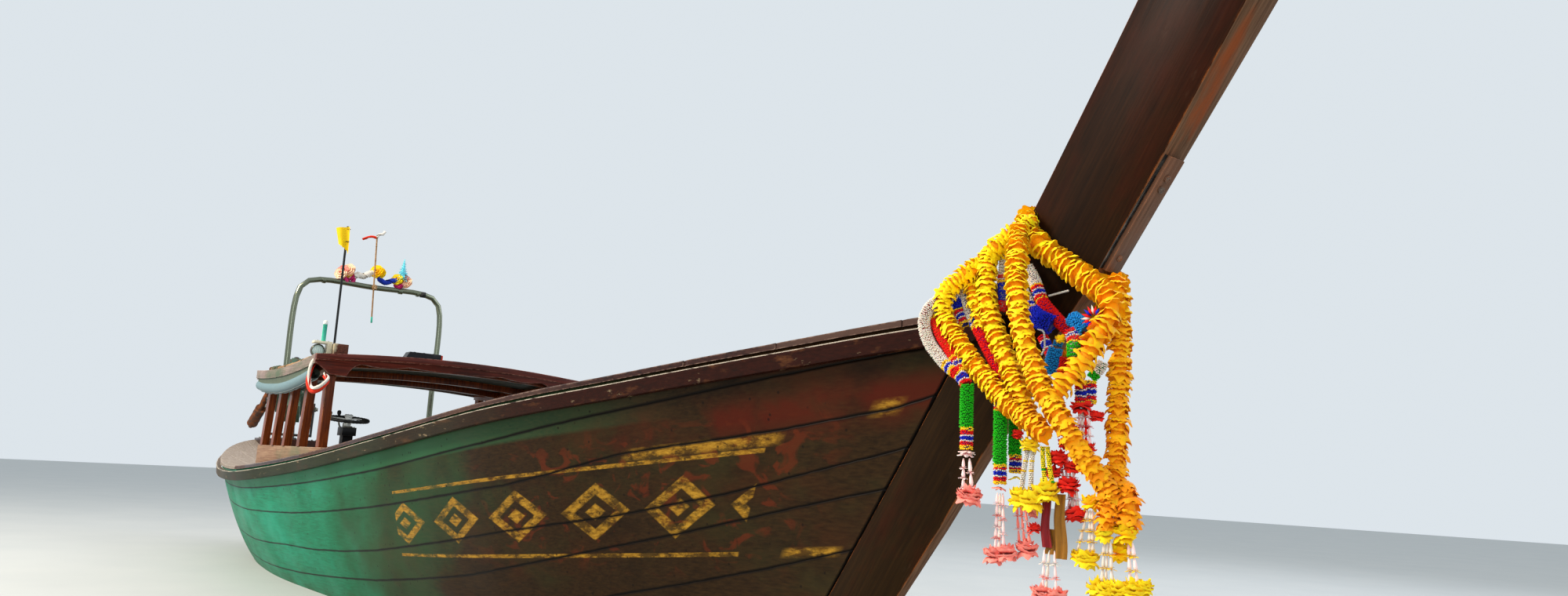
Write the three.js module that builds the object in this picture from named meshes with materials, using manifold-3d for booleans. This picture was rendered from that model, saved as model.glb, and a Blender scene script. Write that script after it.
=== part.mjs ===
// A wooden longtail boat, afloat, in millimetres: bow at +X, port side at +Y, +Z up.
// The origin lies on the centreline at the waterline, a little forward of the middle of the hull.
import * as THREE from "three";
import { mergeVertices } from "three/addons/utils/BufferGeometryUtils.js";
import Module from "manifold-3d";

const wasm = await Module();
wasm.setup();

// Driving sizes of the hull
const gap = 0.3; // between pieces that touch
const plankThick = 28;
const railThick = 40;
const railDeep = 70;
const rimRise = 18; // the top plank's edge above the rub rail
const deckThick = 25;
const deckOverhang = 10;
const washboardWide = 160;
const sternTip = -5230;
const sternRoundFrom = -1600; // aft of here the deck's outline draws in to the round stern
const sternRake = 800; // how far the bottom of the stern lies forward of its top
const sternDeckEnd = -2080;
const foredeckStart = 3000;
const floorLevel = 10;
const stemHalf = 46;
const stemWide = 415; // at its head, measured level
const keelEnd = 3431;
const girthSteps = 8; // strips of skin from the keel to the gunwale

// Hull sections from the stern to the bow. Columns: x at the gunwale, half-breadth over the rub rails,
// height of the rub rail, height of the bottom on the centreline, fullness (smaller is rounder).
const sections = [
  [-5230, 690, 1031, 130, 0.46],
  [-4700, 745, 930, 20, 0.4],
  [-4200, 800, 858, -90, 0.36],
  [-3200, 925, 777, -230, 0.33],
  [-2200, 1015, 767, -285, 0.32],
  [-1500, 1042, 794, -300, 0.32],
  [-700, 1005, 854, -300, 0.32],
  [0, 951, 925, -300, 0.32],
  [1000, 869, 1049, -295, 0.34],
  [2000, 757, 1186, -280, 0.4],
  [2500, 650, 1255, -270, 0.46],
  [3000, 503, 1322, -260, 0.55],
  [3500, 372, 1386, -250, 0.65],
  [4000, 250, 1444, -235, 0.78],
  [4400, 168, 1485, -220, 0.88],
  [4751, 86, 1517, -200, 1.0],
];
const bowEnd = sections[sections.length - 1][0];
const hullTip = sternTip + railThick;

// Canopy
const coaming = { aft: -1950, fore: -100, y: 857, thick: 36, top: 985 };
// Columns: x, distance from the centreline, width across the boat, width along it.
const posts = [
  [-245, 835, 55, 75],
  [-690, 852, 55, 75],
  [-1112, 857, 50, 75],
  [-1453, 857, 50, 75],
  [-1830, 853, 50, 75],
];
const roof = { aft: -1905, fore: -200, half: 945, thick: 22, edge: 1582, camber: 46 };
const fasciaThick = 24;
const plate = { half: 30, deep: 60, y: 836 };

// Engine and tail
const pivot = { x: -4900, trunnion: 330, swing: THREE.MathUtils.degToRad(15), drop: THREE.MathUtils.degToRad(23) };
const tailLong = 4050;
const tailRadius = 38;

const material = (color, roughness = 0.6, metalness = 0) =>
  new THREE.MeshStandardMaterial({ color, roughness, metalness });
const paints = {
  hull: material(0x3f4a34, 0.5),
  brownVarnish: material(0x3a1c12, 0.45),
  redWood: material(0x6b2a1a, 0.5),
  deckWood: material(0xb7a78c, 0.8),
  greyWood: material(0x8a7a63, 0.85),
  steel: material(0xa9b0a6, 0.3, 0.9),
  darkSteel: material(0x33363a, 0.5, 0.7),
  castIron: material(0x4a5348, 0.6, 0.6),
  brass: material(0xb08d4a, 0.35, 0.9),
  rubber: material(0x17181a, 0.7),
  cream: material(0xd9d0b4, 0.5),
  glass: material(0xcfe0dc, 0.1),
  tan: material(0xb78a52, 0.8),
  curtain: material(0x8fa2ae, 0.7),
  marigold: material(0xf2a90a, 0.9),
  beads: material(0xd9cdb8, 0.7),
  green: material(0x1f8f2f, 0.8),
  jasmine: material(0xf0b9ae, 0.8),
  redRibbon: material(0x8c1420, 0.8),
  goldRibbon: material(0xa5741c, 0.7),
  flag: material(0xf0b81a, 0.8),
};

const boat = new THREE.Group();

function add(name, geometry, paint, parent = boat) {
  const mesh = new THREE.Mesh(geometry, paint);
  mesh.name = name;
  parent.add(mesh);
  return mesh;
}

const vec = (x, y, z) => new THREE.Vector3(x, y, z);
const clamp = (t, low, high) => Math.min(high, Math.max(low, t));

// A closed solid from a list of points and triangles, its faces turned outwards.
function solid(points, triangles) {
  const position = new Float32Array(points.flatMap((p) => [p.x, p.y, p.z]));
  let volume = 0;
  for (const [a, b, c] of triangles) {
    volume += points[a].dot(vec(0, 0, 0).crossVectors(points[b], points[c]));
  }
  const faces = volume < 0 ? triangles.map(([a, b, c]) => [a, c, b]) : triangles;
  const geometry = new THREE.BufferGeometry();
  geometry.setAttribute("position", new THREE.BufferAttribute(position, 3));
  geometry.setIndex(faces.flat());
  return geometry;
}

// A board between two faces of rows by columns points, closed along its four edges.
function board(rows, columns, face, back) {
  const points = [];
  for (const side of [face, back]) {
    for (let i = 0; i <= rows; i++) {
      for (let j = 0; j <= columns; j++) points.push(side(i, j));
    }
  }
  const width = columns + 1;
  const far = (rows + 1) * width;
  const at = (i, j) => i * width + j;
  const triangles = [];
  const quad = (a, b, c, d) => triangles.push([a, b, c], [a, c, d]);
  for (let i = 0; i < rows; i++) {
    for (let j = 0; j < columns; j++) {
      const corners = [at(i, j), at(i + 1, j), at(i + 1, j + 1), at(i, j + 1)];
      quad(...corners);
      quad(...corners.map((k) => k + far).reverse());
    }
    quad(at(i + 1, 0), at(i, 0), at(i, 0) + far, at(i + 1, 0) + far);
    quad(at(i, columns), at(i + 1, columns), at(i + 1, columns) + far, at(i, columns) + far);
  }
  for (let j = 0; j < columns; j++) {
    quad(at(0, j), at(0, j + 1), at(0, j + 1) + far, at(0, j) + far);
    quad(at(rows, j + 1), at(rows, j), at(rows, j) + far, at(rows, j + 1) + far);
  }
  return solid(points, triangles);
}

function manifoldOf(geometry) {
  const bare = new THREE.BufferGeometry();
  const flat = geometry.index ? geometry.toNonIndexed() : geometry;
  bare.setAttribute("position", flat.getAttribute("position"));
  const merged = mergeVertices(bare, 1e-3);
  return new wasm.Manifold(
    new wasm.Mesh({
      numProp: 3,
      vertProperties: new Float32Array(merged.attributes.position.array),
      triVerts: new Uint32Array(merged.index.array),
    }),
  );
}

function geometryOf(shape) {
  const mesh = shape.getMesh();
  const geometry = new THREE.BufferGeometry();
  geometry.setAttribute("position", new THREE.BufferAttribute(new Float32Array(mesh.vertProperties), 3));
  geometry.setIndex(new THREE.BufferAttribute(new Uint32Array(mesh.triVerts), 1));
  return geometry;
}

const joined = (...pieces) => geometryOf(pieces.map(manifoldOf).reduce((a, b) => a.add(b)));
const cut = (body, ...tools) =>
  geometryOf(tools.map(manifoldOf).reduce((a, b) => a.subtract(b), manifoldOf(body)));

// A box between two corners.
function box(x0, x1, y0, y1, z0, z1) {
  const geometry = new THREE.BoxGeometry(x1 - x0, y1 - y0, z1 - z0);
  return geometry.translate((x0 + x1) / 2, (y0 + y1) / 2, (z0 + z1) / 2);
}

// A round bar between two points.
function rod(from, to, radius, sides = 12, endRadius = radius) {
  const along = vec(0, 0, 0).subVectors(to, from);
  const geometry = new THREE.CylinderGeometry(endRadius, radius, along.length(), sides);
  geometry.translate(0, along.length() / 2, 0);
  const turn = new THREE.Quaternion().setFromUnitVectors(vec(0, 1, 0), along.clone().normalize());
  return geometry.applyQuaternion(turn).translate(from.x, from.y, from.z);
}

// A round tube along a smooth curve through hand-chosen points.
function tube(points, radius, sides = 10, steps = 24) {
  const outline = new THREE.Shape();
  outline.absarc(0, 0, radius, 0, 2 * Math.PI);
  const path = new THREE.CatmullRomCurve3(points.map((p) => vec(...p)), false, "centripetal");
  return new THREE.ExtrudeGeometry(outline, {
    steps,
    extrudePath: path,
    bevelEnabled: false,
    curveSegments: Math.round(sides / 2),
  });
}

// A turned solid whose axis runs from one point along a direction. Profile: [distance along, radius].
function turned(profile, origin, direction, sides = 20) {
  const points = profile.map(([along, radius]) => new THREE.Vector2(radius, along));
  const geometry = new THREE.LatheGeometry(points, sides);
  const turn = new THREE.Quaternion().setFromUnitVectors(vec(0, 1, 0), direction.clone().normalize());
  return geometry.applyQuaternion(turn).translate(origin.x, origin.y, origin.z);
}

// A flat outline in the plane of x and z, given a thickness across the boat.
function uprightPlate(outline, y0, y1) {
  const shape = new THREE.Shape(outline.map(([x, z]) => new THREE.Vector2(x, z)));
  const geometry = new THREE.ExtrudeGeometry(shape, { depth: y1 - y0, bevelEnabled: false });
  return geometry.rotateX(Math.PI / 2).translate(0, y1, 0);
}

// A column of the section table at any x, smooth between the sections.
function column(x, index) {
  const last = sections.length - 1;
  if (x <= sections[0][0]) return sections[0][index];
  if (x >= bowEnd) return sections[last][index];
  const i = sections.findIndex((s) => s[0] > x) - 1;
  const slope = (k) => {
    const a = sections[Math.max(k - 1, 0)];
    const b = sections[Math.min(k + 1, last)];
    return (b[index] - a[index]) / (b[0] - a[0]);
  };
  const [from, to] = [sections[i], sections[i + 1]];
  const span = to[0] - from[0];
  const t = (x - from[0]) / span;
  return (
    (2 * t ** 3 - 3 * t ** 2 + 1) * from[index] +
    (t ** 3 - 2 * t ** 2 + t) * span * slope(i) +
    (3 * t ** 2 - 2 * t ** 3) * to[index] +
    (t ** 3 - t ** 2) * span * slope(i + 1)
  );
}

const railTop = (x) => column(x, 2);

function hullHalf(x) {
  const t = clamp((sternRoundFrom - x) / (sternRoundFrom - hullTip), 0, 1);
  return (column(x, 1) - railThick) * Math.sqrt(1 - t ** 6);
}

// The stem's aft edge leans forward and curves up a little. The planks end against it.
const stemAft = (z) => 4831 - stemWide + 0.715 * (z - 1041) - 0.000022 * (z - 1041) ** 2;

// The stem's leading edge. Columns: height, x, half its thickness there.
const cutwater = [
  [-190, 3797, 20], [0, 3945, 20], [280, 4163, 20], [564, 4387, 21], [810, 4584, 25], [1061, 4772, 30],
  [1350, 5005, 36], [1635, 5240, 42], [1954, 5471, 54], [2337, 5739, 67], [2650, 5955, 76], [2930, 6145, 82],
];
function stemLead(z) {
  const i = clamp(cutwater.findIndex((c) => c[0] > z), 1, cutwater.length - 1);
  const [a, b] = [cutwater[i - 1], cutwater[i]];
  return a[1] + ((b[1] - a[1]) * (z - a[0])) / (b[0] - a[0]);
}

// A point on the skin's outer face: x is its section's place at the gunwale, up runs from 0 at the keel
// to 1 at the gunwale, and side is 1 for port and -1 for starboard.
function skin(x, up, side) {
  const top = railTop(x) + rimRise;
  const bottom = column(x, 3);
  const z = bottom + (top - bottom) * up;
  const bow = clamp((x - 1500) / (bowEnd - 1500), 0, 1);
  const stern = clamp((-2000 - x) / (-2000 - hullTip), 0, 1);
  const raked = bow ** 1.5 * (stemAft(z) - stemAft(top)) + stern ** 2 * sternRake * (1 - up) ** 1.5;
  const edge = stemHalf * bow ** 6;
  const half = edge + (hullHalf(x) - edge) * up ** column(x, 4);
  return vec(x + raked - gap * bow ** 6, up === 0 ? 0 : side * half, z);
}

// The same point carried inwards by a depth, square to the skin.
function skinInside(x, up, side, depth) {
  const stepX = 4;
  const stepUp = 0.004;
  const [x0, x1] = [Math.max(x - stepX, hullTip + 0.5), Math.min(x + stepX, bowEnd)];
  const [u0, u1] = [Math.max(up - stepUp, 0), Math.min(up + stepUp, 1)];
  const alongX = skin(x1, up, side).sub(skin(x0, up, side));
  const alongUp = skin(x, u1, side).sub(skin(x, u0, side));
  const inward = vec(0, 0, 0).crossVectors(alongX, alongUp).multiplyScalar(side).normalize();
  if (up === 0) inward.set(0, 0, 1);
  if (up === 1) inward.setZ(0).normalize();
  return skin(x, up, side).addScaledVector(inward, depth);
}

// Places of the skin's cross rows, closer together round the stern.
const sternRows = [2, 14, 45, 100, 190, 330, 520, 760, 1050].map((d) => hullTip + d);
const rowX = [...sternRows, -3700, -3200, -2700, sternDeckEnd, -1600, -1100, -600, -100, 400, 900, 1400,
  1900, 2350, 2700, foredeckStart, 3300, 3650, 4000, 4300, 4550, bowEnd];
const ups = Array.from({ length: girthSteps + 1 }, (_, j) => (j / girthSteps) ** 2);

// Columns from the starboard gunwale, down round the keel, to the port gunwale.
const girth = Array.from({ length: 2 * girthSteps + 1 }, (_, k) => {
  const j = k - girthSteps;
  return { up: ups[Math.abs(j)], side: Math.sign(j) || 1 };
});
const outerRows = rowX.map((x) => girth.map(({ up, side }) => skin(x, up, side)));

// Height of the planks' top edge, straight between the rows and past the last ones.
function rimLevel(x) {
  const ahead = outerRows.slice(1, -1).findIndex((r) => r[0].x > x);
  const i = ahead === -1 ? rowX.length - 1 : ahead + 1;
  const [a, b] = [outerRows[i - 1][0], outerRows[i][0]];
  return a.z + ((b.z - a.z) * (x - a.x)) / (b.x - a.x);
}
const innerRows = rowX.map((x, i) =>
  girth.map(({ up, side }) => {
    const point = skinInside(x, up, side, plankThick);
    if (i === rowX.length - 1) point.x -= plankThick;
    return up === 1 ? point.setZ(rimLevel(point.x) - 1) : point;
  }),
);

// The planking is a bowl: an outer and an inner skin, both closed at the ends, joined along the rim.
function hullPlanking() {
  const rows = rowX.length - 1;
  const cols = girth.length - 1;
  const points = [...outerRows.flat(), ...innerRows.flat()];
  const at = (i, j) => i * (cols + 1) + j;
  const far = points.length / 2;
  const triangles = [];
  const quad = (a, b, c, d) => {
    if (a !== b && b !== c && c !== a) triangles.push([a, b, c]);
    if (a !== c && c !== d && d !== a) triangles.push([a, c, d]);
  };
  for (let i = 0; i < rows; i++) {
    for (let j = 0; j < cols; j++) {
      const corners = [at(i, j), at(i + 1, j), at(i + 1, j + 1), at(i, j + 1)];
      quad(...corners);
      quad(...corners.map((k) => k + far).reverse());
    }
    quad(at(i + 1, 0), at(i, 0), at(i, 0) + far, at(i + 1, 0) + far);
    quad(at(i, cols), at(i + 1, cols), at(i + 1, cols) + far, at(i, cols) + far);
  }
  for (const [i, turn] of [[0, false], [rows, true]]) {
    for (let j = 0; j < girthSteps; j++) {
      const corners = [at(i, j), at(i, j + 1), at(i, cols - j - 1), at(i, cols - j)];
      if (turn) corners.reverse();
      quad(...corners);
      quad(...corners.map((k) => k + far).reverse());
    }
    const rim = [at(i, 0), at(i, cols), at(i, cols) + far, at(i, 0) + far];
    quad(...(turn ? rim.reverse() : rim));
  }
  return solid(points, triangles);
}

// A point of the skin's own facets, at any x between two rows.
function onRows(rows, x, k) {
  const i = clamp(rowX.findIndex((r) => r > x) - 1, 0, rowX.length - 2);
  const t = clamp((x - rowX[i]) / (rowX[i + 1] - rowX[i]), 0, 1);
  return rows[i][k].clone().lerp(rows[i + 1][k], t);
}
const deckTop = (x) => rimLevel(x) + gap + deckThick;

// Outward direction of the gunwale in plan at a row, for the port side.
function outward(i) {
  const before = outerRows[Math.max(i - 1, 0)].at(-1);
  const after = outerRows[Math.min(i + 1, rowX.length - 1)].at(-1);
  const along = vec(0, 0, 0).subVectors(after, before).setZ(0).normalize();
  return i === 0 ? vec(-1, 0, 0) : vec(-along.y, along.x, 0);
}

// Half the rub rail, outside the top plank: from the stern's centreline forward along the stem's side.
const railSlack = (x) => (x < -3600 ? 4.4 : 1.2); // more where the skin twists round the stern
function rubRail(side) {
  const height = (point, below, z) => clamp((z - below.z) / (point.z - below.z), 0, 1);
  const rings = rowX.map((x, i) => {
    const top = outerRows[i].at(-1);
    const below = outerRows[i].at(-2);
    const z = top.z - rimRise;
    const inner = (level) => {
      const p = below.clone().lerp(top, height(top, below, level));
      return p.addScaledVector(outward(i), 2 * gap + railSlack(x)).setZ(level);
    };
    const outer = (level, out) => top.clone().addScaledVector(outward(i), out).setZ(level);
    return [outer(z, railThick), outer(z - railDeep, railThick - 8), inner(z), inner(z - railDeep)];
  });
  rings[0] = rings[0].map((p) => p.setY(-0.5));
  // The rail's fore end lies flat against the side of the stem.
  for (const ahead of [60, 130]) {
    const z = railTop(bowEnd) + ahead * 0.08;
    rings.push([
      vec(bowEnd + ahead, stemHalf + railThick - 8, z),
      vec(bowEnd + ahead, stemHalf + railThick - 14, z - railDeep),
      vec(bowEnd + ahead, stemHalf + 2 * gap, z),
      vec(bowEnd + ahead, stemHalf + 2 * gap, z - railDeep),
    ]);
  }
  const mirror = (p) => vec(p.x, side * p.y, p.z);
  return board(rings.length - 1, 1, (i, j) => mirror(rings[i][j]), (i, j) => mirror(rings[i][j + 2]));
}

// A deck across the boat between two rows, resting on the planks' top edges.
function deck(fromX, toX) {
  const xs = rowX.filter((x) => x >= fromX && x <= toX);
  const columns = 6;
  const point = (i, j, z) => {
    const row = rowX.indexOf(xs[i]);
    const edge = outerRows[row].at(-1).clone().addScaledVector(outward(row), deckOverhang);
    return vec(edge.x, edge.y * (2 * j / columns - 1), rimLevel(edge.x) + z);
  };
  return board(xs.length - 1, columns, (i, j) => point(i, j, gap + deckThick), (i, j) => point(i, j, gap));
}

function washboard(side) {
  const xs = rowX.filter((x) => x >= sternDeckEnd && x <= foredeckStart);
  const point = (i, j, z) => {
    const row = rowX.indexOf(xs[i]);
    const top = outerRows[row].at(-1);
    const shift = i === 0 ? gap : i === xs.length - 1 ? -gap : 0;
    const at = top.x + shift;
    return vec(at, side * (top.y + deckOverhang - j * washboardWide), rimLevel(at) + z);
  };
  return board(xs.length - 1, 1, (i, j) => point(i, j, gap + deckThick), (i, j) => point(i, j, gap));
}

// Half the width inside the planks at a place and a height.
function reachInside(x, z) {
  const ray = new THREE.Raycaster(vec(x, 0, z), vec(0, 1, 0));
  return ray.intersectObject(planking)[0].point.y;
}

// Bent ribs against the inside of the planks, tied together by the keelson along the bottom.
function ribsAndKeelson() {
  const ribHalf = 22;
  const ribDeep = 38;
  const seat = 0.8;
  const ribX = rowX.filter((x) => x >= -3700 && x <= 1900);
  const ribs = ribX.map((x) => {
    const point = (k, j, depth) => {
      const { up, side } = girth[k + 1];
      const near = onRows(innerRows, x + (j ? ribHalf : -ribHalf), k + 1);
      const inward = skinInside(x, up, side, 100).sub(skin(x, up, side)).setX(0).normalize();
      return near.addScaledVector(inward, depth);
    };
    const count = girth.length - 3;
    return board(count, 1, (k, j) => point(k, j, seat + ribDeep), (k, j) => point(k, j, seat));
  });
  const height = (i) => onRows(innerRows, ribX[i], girthSteps);
  const bar = (i, j, lift) => height(i).add(vec(0, 90 * j - 45, lift));
  const keelson = board(ribX.length - 1, 1, (i, j) => bar(i, j, 60), (i, j) => bar(i, j, 12));
  // Floor timbers span the ribs and carry the floor boards.
  const timbers = ribX.filter((x) => x >= -2700 && x <= 1400).map((x) => {
    const half = reachInside(x, floorLevel - 130) - 22;
    return box(x - 18, x + 18, -half, half, floorLevel - 130, floorLevel - gap);
  });
  return joined(keelson, ...ribs, ...timbers);
}

// The keel plank under the skin, from the foot of the stem to the rising stern.
function keelPlank() {
  const xs = rowX.filter((x) => x >= hullTip + 190 && x <= 4550);
  const point = (i, j, drop) => {
    const p = outerRows[rowX.indexOf(xs[i])][girthSteps];
    return vec(i === xs.length - 1 ? keelEnd : p.x, 60 * j - 30, p.z - drop);
  };
  return board(xs.length - 1, 1, (i, j) => point(i, j, gap + 70), (i, j) => point(i, j, gap));
}

// The stem is one plank on edge, thinner along its cutwater and thicker towards its head.
// Rows: aft edge x and z, leading edge x and z, half thickness at each.
function stemPlank() {
  const rows = [[3432, -300, 3600, -296, stemHalf, 20], [3432, -212, 3745, -235, stemHalf, 20],
    [stemAft(-201), -201, 3797, -190, stemHalf, 20]];
  for (const [z, x, half] of cutwater.slice(1, -1)) {
    rows.push([stemAft(z), z, x, z, stemHalf + Math.max(0, (z - 1700) * 0.016), half]);
  }
  rows.push([stemAft(2790), 2790, 6145, 2930, 64, 82], [stemAft(2880) + 40, 2900, 6120, 2995, 66, 80]);
  const point = (i, j, side) => {
    const [ax, az, lx, lz, ah, lh] = rows[i];
    const t = j / 2;
    const half = Math.max(ah + (lh - ah) * t, t < 1 ? Math.min(ah, 60) : 0);
    return vec(ax + (lx - ax) * t, side * half, az + (lz - az) * t);
  };
  return board(rows.length - 1, 2, (i, j) => point(i, j, 1), (i, j) => point(i, j, -1));
}

// A bolted strip over the stem's leading edge, above the garlands.
function stemCoverStrip() {
  const heights = [1640, 1797, 1954];
  const point = (i, j, out) => vec(stemLead(heights[i]) + gap + out, 68 * j - 34, heights[i] - out * 0.7);
  return board(2, 1, (i, j) => point(i, j, 14), (i, j) => point(i, j, 0));
}

// Floor boards lie on the ribs.
function floorBoards() {
  const level = floorLevel;
  const thick = 22;
  const xs = rowX.filter((x) => x >= -2700 && x <= 1900);
  const half = (x) => {
    const count = girth.length - 1;
    for (let k = girthSteps + 1; k <= count; k++) {
      const [a, b] = [onRows(innerRows, x, k - 1), onRows(innerRows, x, k)];
      if (b.z >= level) return a.y + ((b.y - a.y) * (level - a.z)) / (b.z - a.z) - 80;
    }
    return 0;
  };
  const point = (i, j, z) => vec(xs[i], (2 * j - 1) * half(xs[i]), z);
  return board(xs.length - 1, 1, (i, j) => point(i, j, level + thick), (i, j) => point(i, j, level));
}

// Thwarts reach from side to side, just inside the planks, over the ribs' inner faces.
const thwart = { half: 130, thick: 32, top: 440 };
const thwartX = [-1350, 150, 1650];
function thwartBoard(x) {
  const level = thwart.top - thwart.thick;
  const reach = (at) => reachInside(at, level) - 5 * gap;
  const half = (i) => reach(x + (i ? thwart.half : -thwart.half));
  const point = (i, j, z) => vec(x + (i ? thwart.half : -thwart.half), (2 * j - 1) * half(i), z);
  return board(1, 1, (i, j) => point(i, j, thwart.top), (i, j) => point(i, j, level));
}

const planking = add("hull_planking", hullPlanking(), paints.hull);
add("keel_plank", keelPlank(), paints.brownVarnish);
add("stem_plank", stemPlank(), paints.brownVarnish);
add("stem_cover_strip", stemCoverStrip(), paints.brownVarnish);
for (const [name, side] of [["starboard", -1], ["port", 1]]) {
  add("washboard_" + name, washboard(side), paints.redWood);
}
add("rub_rail", joined(rubRail(-1), rubRail(1)), paints.redWood);
add("stern_deck_boards", deck(rowX[0], sternDeckEnd), paints.deckWood);
add("foredeck_boards", deck(foredeckStart, bowEnd), paints.deckWood);
add("ribs_and_keelson", ribsAndKeelson(), paints.greyWood);
add("floor_boards", floorBoards(), paints.greyWood);
thwartX.forEach((x, i) => add("thwart_" + (i + 1), thwartBoard(x), paints.redWood));

// Height of the roof's top. Its sides sag a little between the front and the back.
function roofTop(x, y) {
  const u = (roof.fore - x) / 1000;
  return roof.edge + 8 + roof.camber * (1 - (y / roof.half) ** 2) - 100 * u + 47 * u * u;
}
const roofSteps = 8;
const roofX = (i, n = roofSteps) => roof.fore + ((roof.aft - roof.fore) * i) / n;

function roofPanel() {
  const across = 10;
  const point = (i, j, drop) => {
    const y = roof.half * ((2 * j) / across - 1);
    return vec(roofX(i), y, roofTop(roofX(i), y) - drop);
  };
  return board(roofSteps, across, (i, j) => point(i, j, 0), (i, j) => point(i, j, roof.thick));
}

// Coaming board on the washboard, with posts on it that carry the plate under the roof's edge.
function coamingBoard(side) {
  const xs = [coaming.aft, ...rowX.filter((x) => x > coaming.aft && x < coaming.fore), coaming.fore];
  const y = (j) => side * (coaming.y + coaming.thick * (0.5 - j));
  const point = (i, j, z) => vec(xs[i], y(j), z);
  return board(xs.length - 1, 1, (i, j) => point(i, j, coaming.top),
    (i, j) => point(i, j, deckTop(xs[i]) + gap));
}

function canopySide(side) {
  const under = (x, y) => roofTop(x, y) - roof.thick - gap - 0.6;
  const plateEdge = plate.y + plate.half;
  const bar = (i, j, drop) => {
    const x = clamp(roofX(i), roof.aft + 20, roof.fore - 20);
    return vec(x, side * (plate.y + plate.half * (2 * j - 1)), under(x, plateEdge) - drop);
  };
  const top = board(roofSteps, 1, (i, j) => bar(i, j, 0), (i, j) => bar(i, j, plate.deep));
  const upright = ([x, y, wide, long]) => {
    const high = under(x, plateEdge) - plate.deep / 2;
    const lean = y - plate.y > 0 ? plate.y : y;
    const point = (i, j, across) => {
      const [centre, z] = i ? [lean, high] : [y, coaming.top + gap];
      return vec(x + (j - 0.5) * long, side * (centre + across * wide), z);
    };
    return board(1, 1, (i, j) => point(i, j, 0.5), (i, j) => point(i, j, -0.5));
  };
  return joined(top, ...posts.map(upright));
}

// The front board of the roof: a moulding with a scalloped valance and a deep tab at each post.
function frontFascia() {
  const half = roof.half + fasciaThick / 2;
  const top = (y) => roofTop(roof.fore, clamp(y, -roof.half, roof.half)) + 6;
  const shape = new THREE.Shape();
  shape.moveTo(-half, top(-half));
  for (let k = 0; k <= 10; k++) shape.lineTo(half * ((2 * k) / 10 - 1), top(half * ((2 * k) / 10 - 1)));
  shape.lineTo(half, 1540);
  shape.quadraticCurveTo(895, 1500, 860, 1466);
  shape.lineTo(750, 1462);
  shape.quadraticCurveTo(720, 1545, 650, 1552);
  shape.quadraticCurveTo(500, 1528, 340, 1562);
  shape.quadraticCurveTo(0, 1540, -340, 1562);
  shape.quadraticCurveTo(-500, 1528, -650, 1552);
  shape.quadraticCurveTo(-720, 1545, -750, 1462);
  shape.lineTo(-860, 1466);
  shape.quadraticCurveTo(-895, 1500, -half, 1540);
  const geometry = new THREE.ExtrudeGeometry(shape, { depth: fasciaThick, bevelEnabled: false, curveSegments: 5 });
  geometry.rotateX(Math.PI / 2).rotateZ(Math.PI / 2).translate(roof.fore + gap, 0, 0);
  const across = 10;
  const moulding = (k, j, out) => {
    const y = half * ((2 * k) / across - 1);
    return vec(roof.fore + gap + out, y, top(y) - 1 - 40 * j);
  };
  return joined(geometry, board(across, 1, (k, j) => moulding(k, j, fasciaThick + 14), (k, j) => moulding(k, j, 4)));
}

function aftFascia() {
  const across = 10;
  const point = (k, j, out) => {
    const y = (roof.half + 5) * ((2 * k) / across - 1);
    return vec(roof.aft - gap - out, y, roofTop(roof.aft, y) + 6 - 70 * j);
  };
  return board(across, 1, (k, j) => point(k, j, fasciaThick), (k, j) => point(k, j, 0));
}

function sideFascia(side) {
  const point = (i, j, out) => {
    const x = i === roofSteps ? roof.aft - fasciaThick : roofX(i);
    return vec(x, side * (roof.half + gap + out), roofTop(x, roof.half) + 6 - 62 * j);
  };
  return board(roofSteps, 1, (i, j) => point(i, j, fasciaThick / 2 - 2), (i, j) => point(i, j, 0));
}

const beamX = [-300, -850, -1380];
function roofBeam(x) {
  const across = 8;
  const reach = plate.y;
  const point = (k, j, depth) => {
    const y = reach * ((2 * k) / across - 1);
    return vec(x + 40 * (j - 0.5), y, roofTop(x, y) - roof.thick - 2.5 - depth);
  };
  return board(across, 1, (k, j) => point(k, j, 0), (k, j) => point(k, j, 45));
}

// Rolled rain curtain that sags below the roof's edge, outside the posts.
function rainCurtain(side) {
  const y = side * 923;
  const places = [-1880, -1650, -1150, -700, -300].map((x, i) => [x, y, [1448, 1422, 1405, 1428, 1470][i]]);
  const straps = [-1700, -1150, -500].map((x) => {
    const bottom = Math.min(roofTop(x - 20, roof.half), roofTop(x + 20, roof.half)) + 6 - 62 - 2 * gap;
    const [y0, y1] = side > 0 ? [946, 955] : [-955, -946];
    return box(x - 20, x + 20, y0, y1, 1420, bottom);
  });
  return joined(tube(places, 36, 10, 20), ...straps);
}

add("roof_panel", roofPanel(), paints.greyWood);
add("roof_front_fascia", frontFascia(), paints.redWood);
add("roof_edge_boards", joined(aftFascia(), sideFascia(-1), sideFascia(1)), paints.redWood);
add("canopy_frame", joined(canopySide(-1), canopySide(1), ...beamX.map(roofBeam)), paints.brownVarnish);
for (const [name, side] of [["starboard", -1], ["port", 1]]) {
  add("coaming_" + name, coamingBoard(side), paints.redWood);
  add("rain_curtain_" + name, rainCurtain(side), paints.curtain);
}

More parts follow.
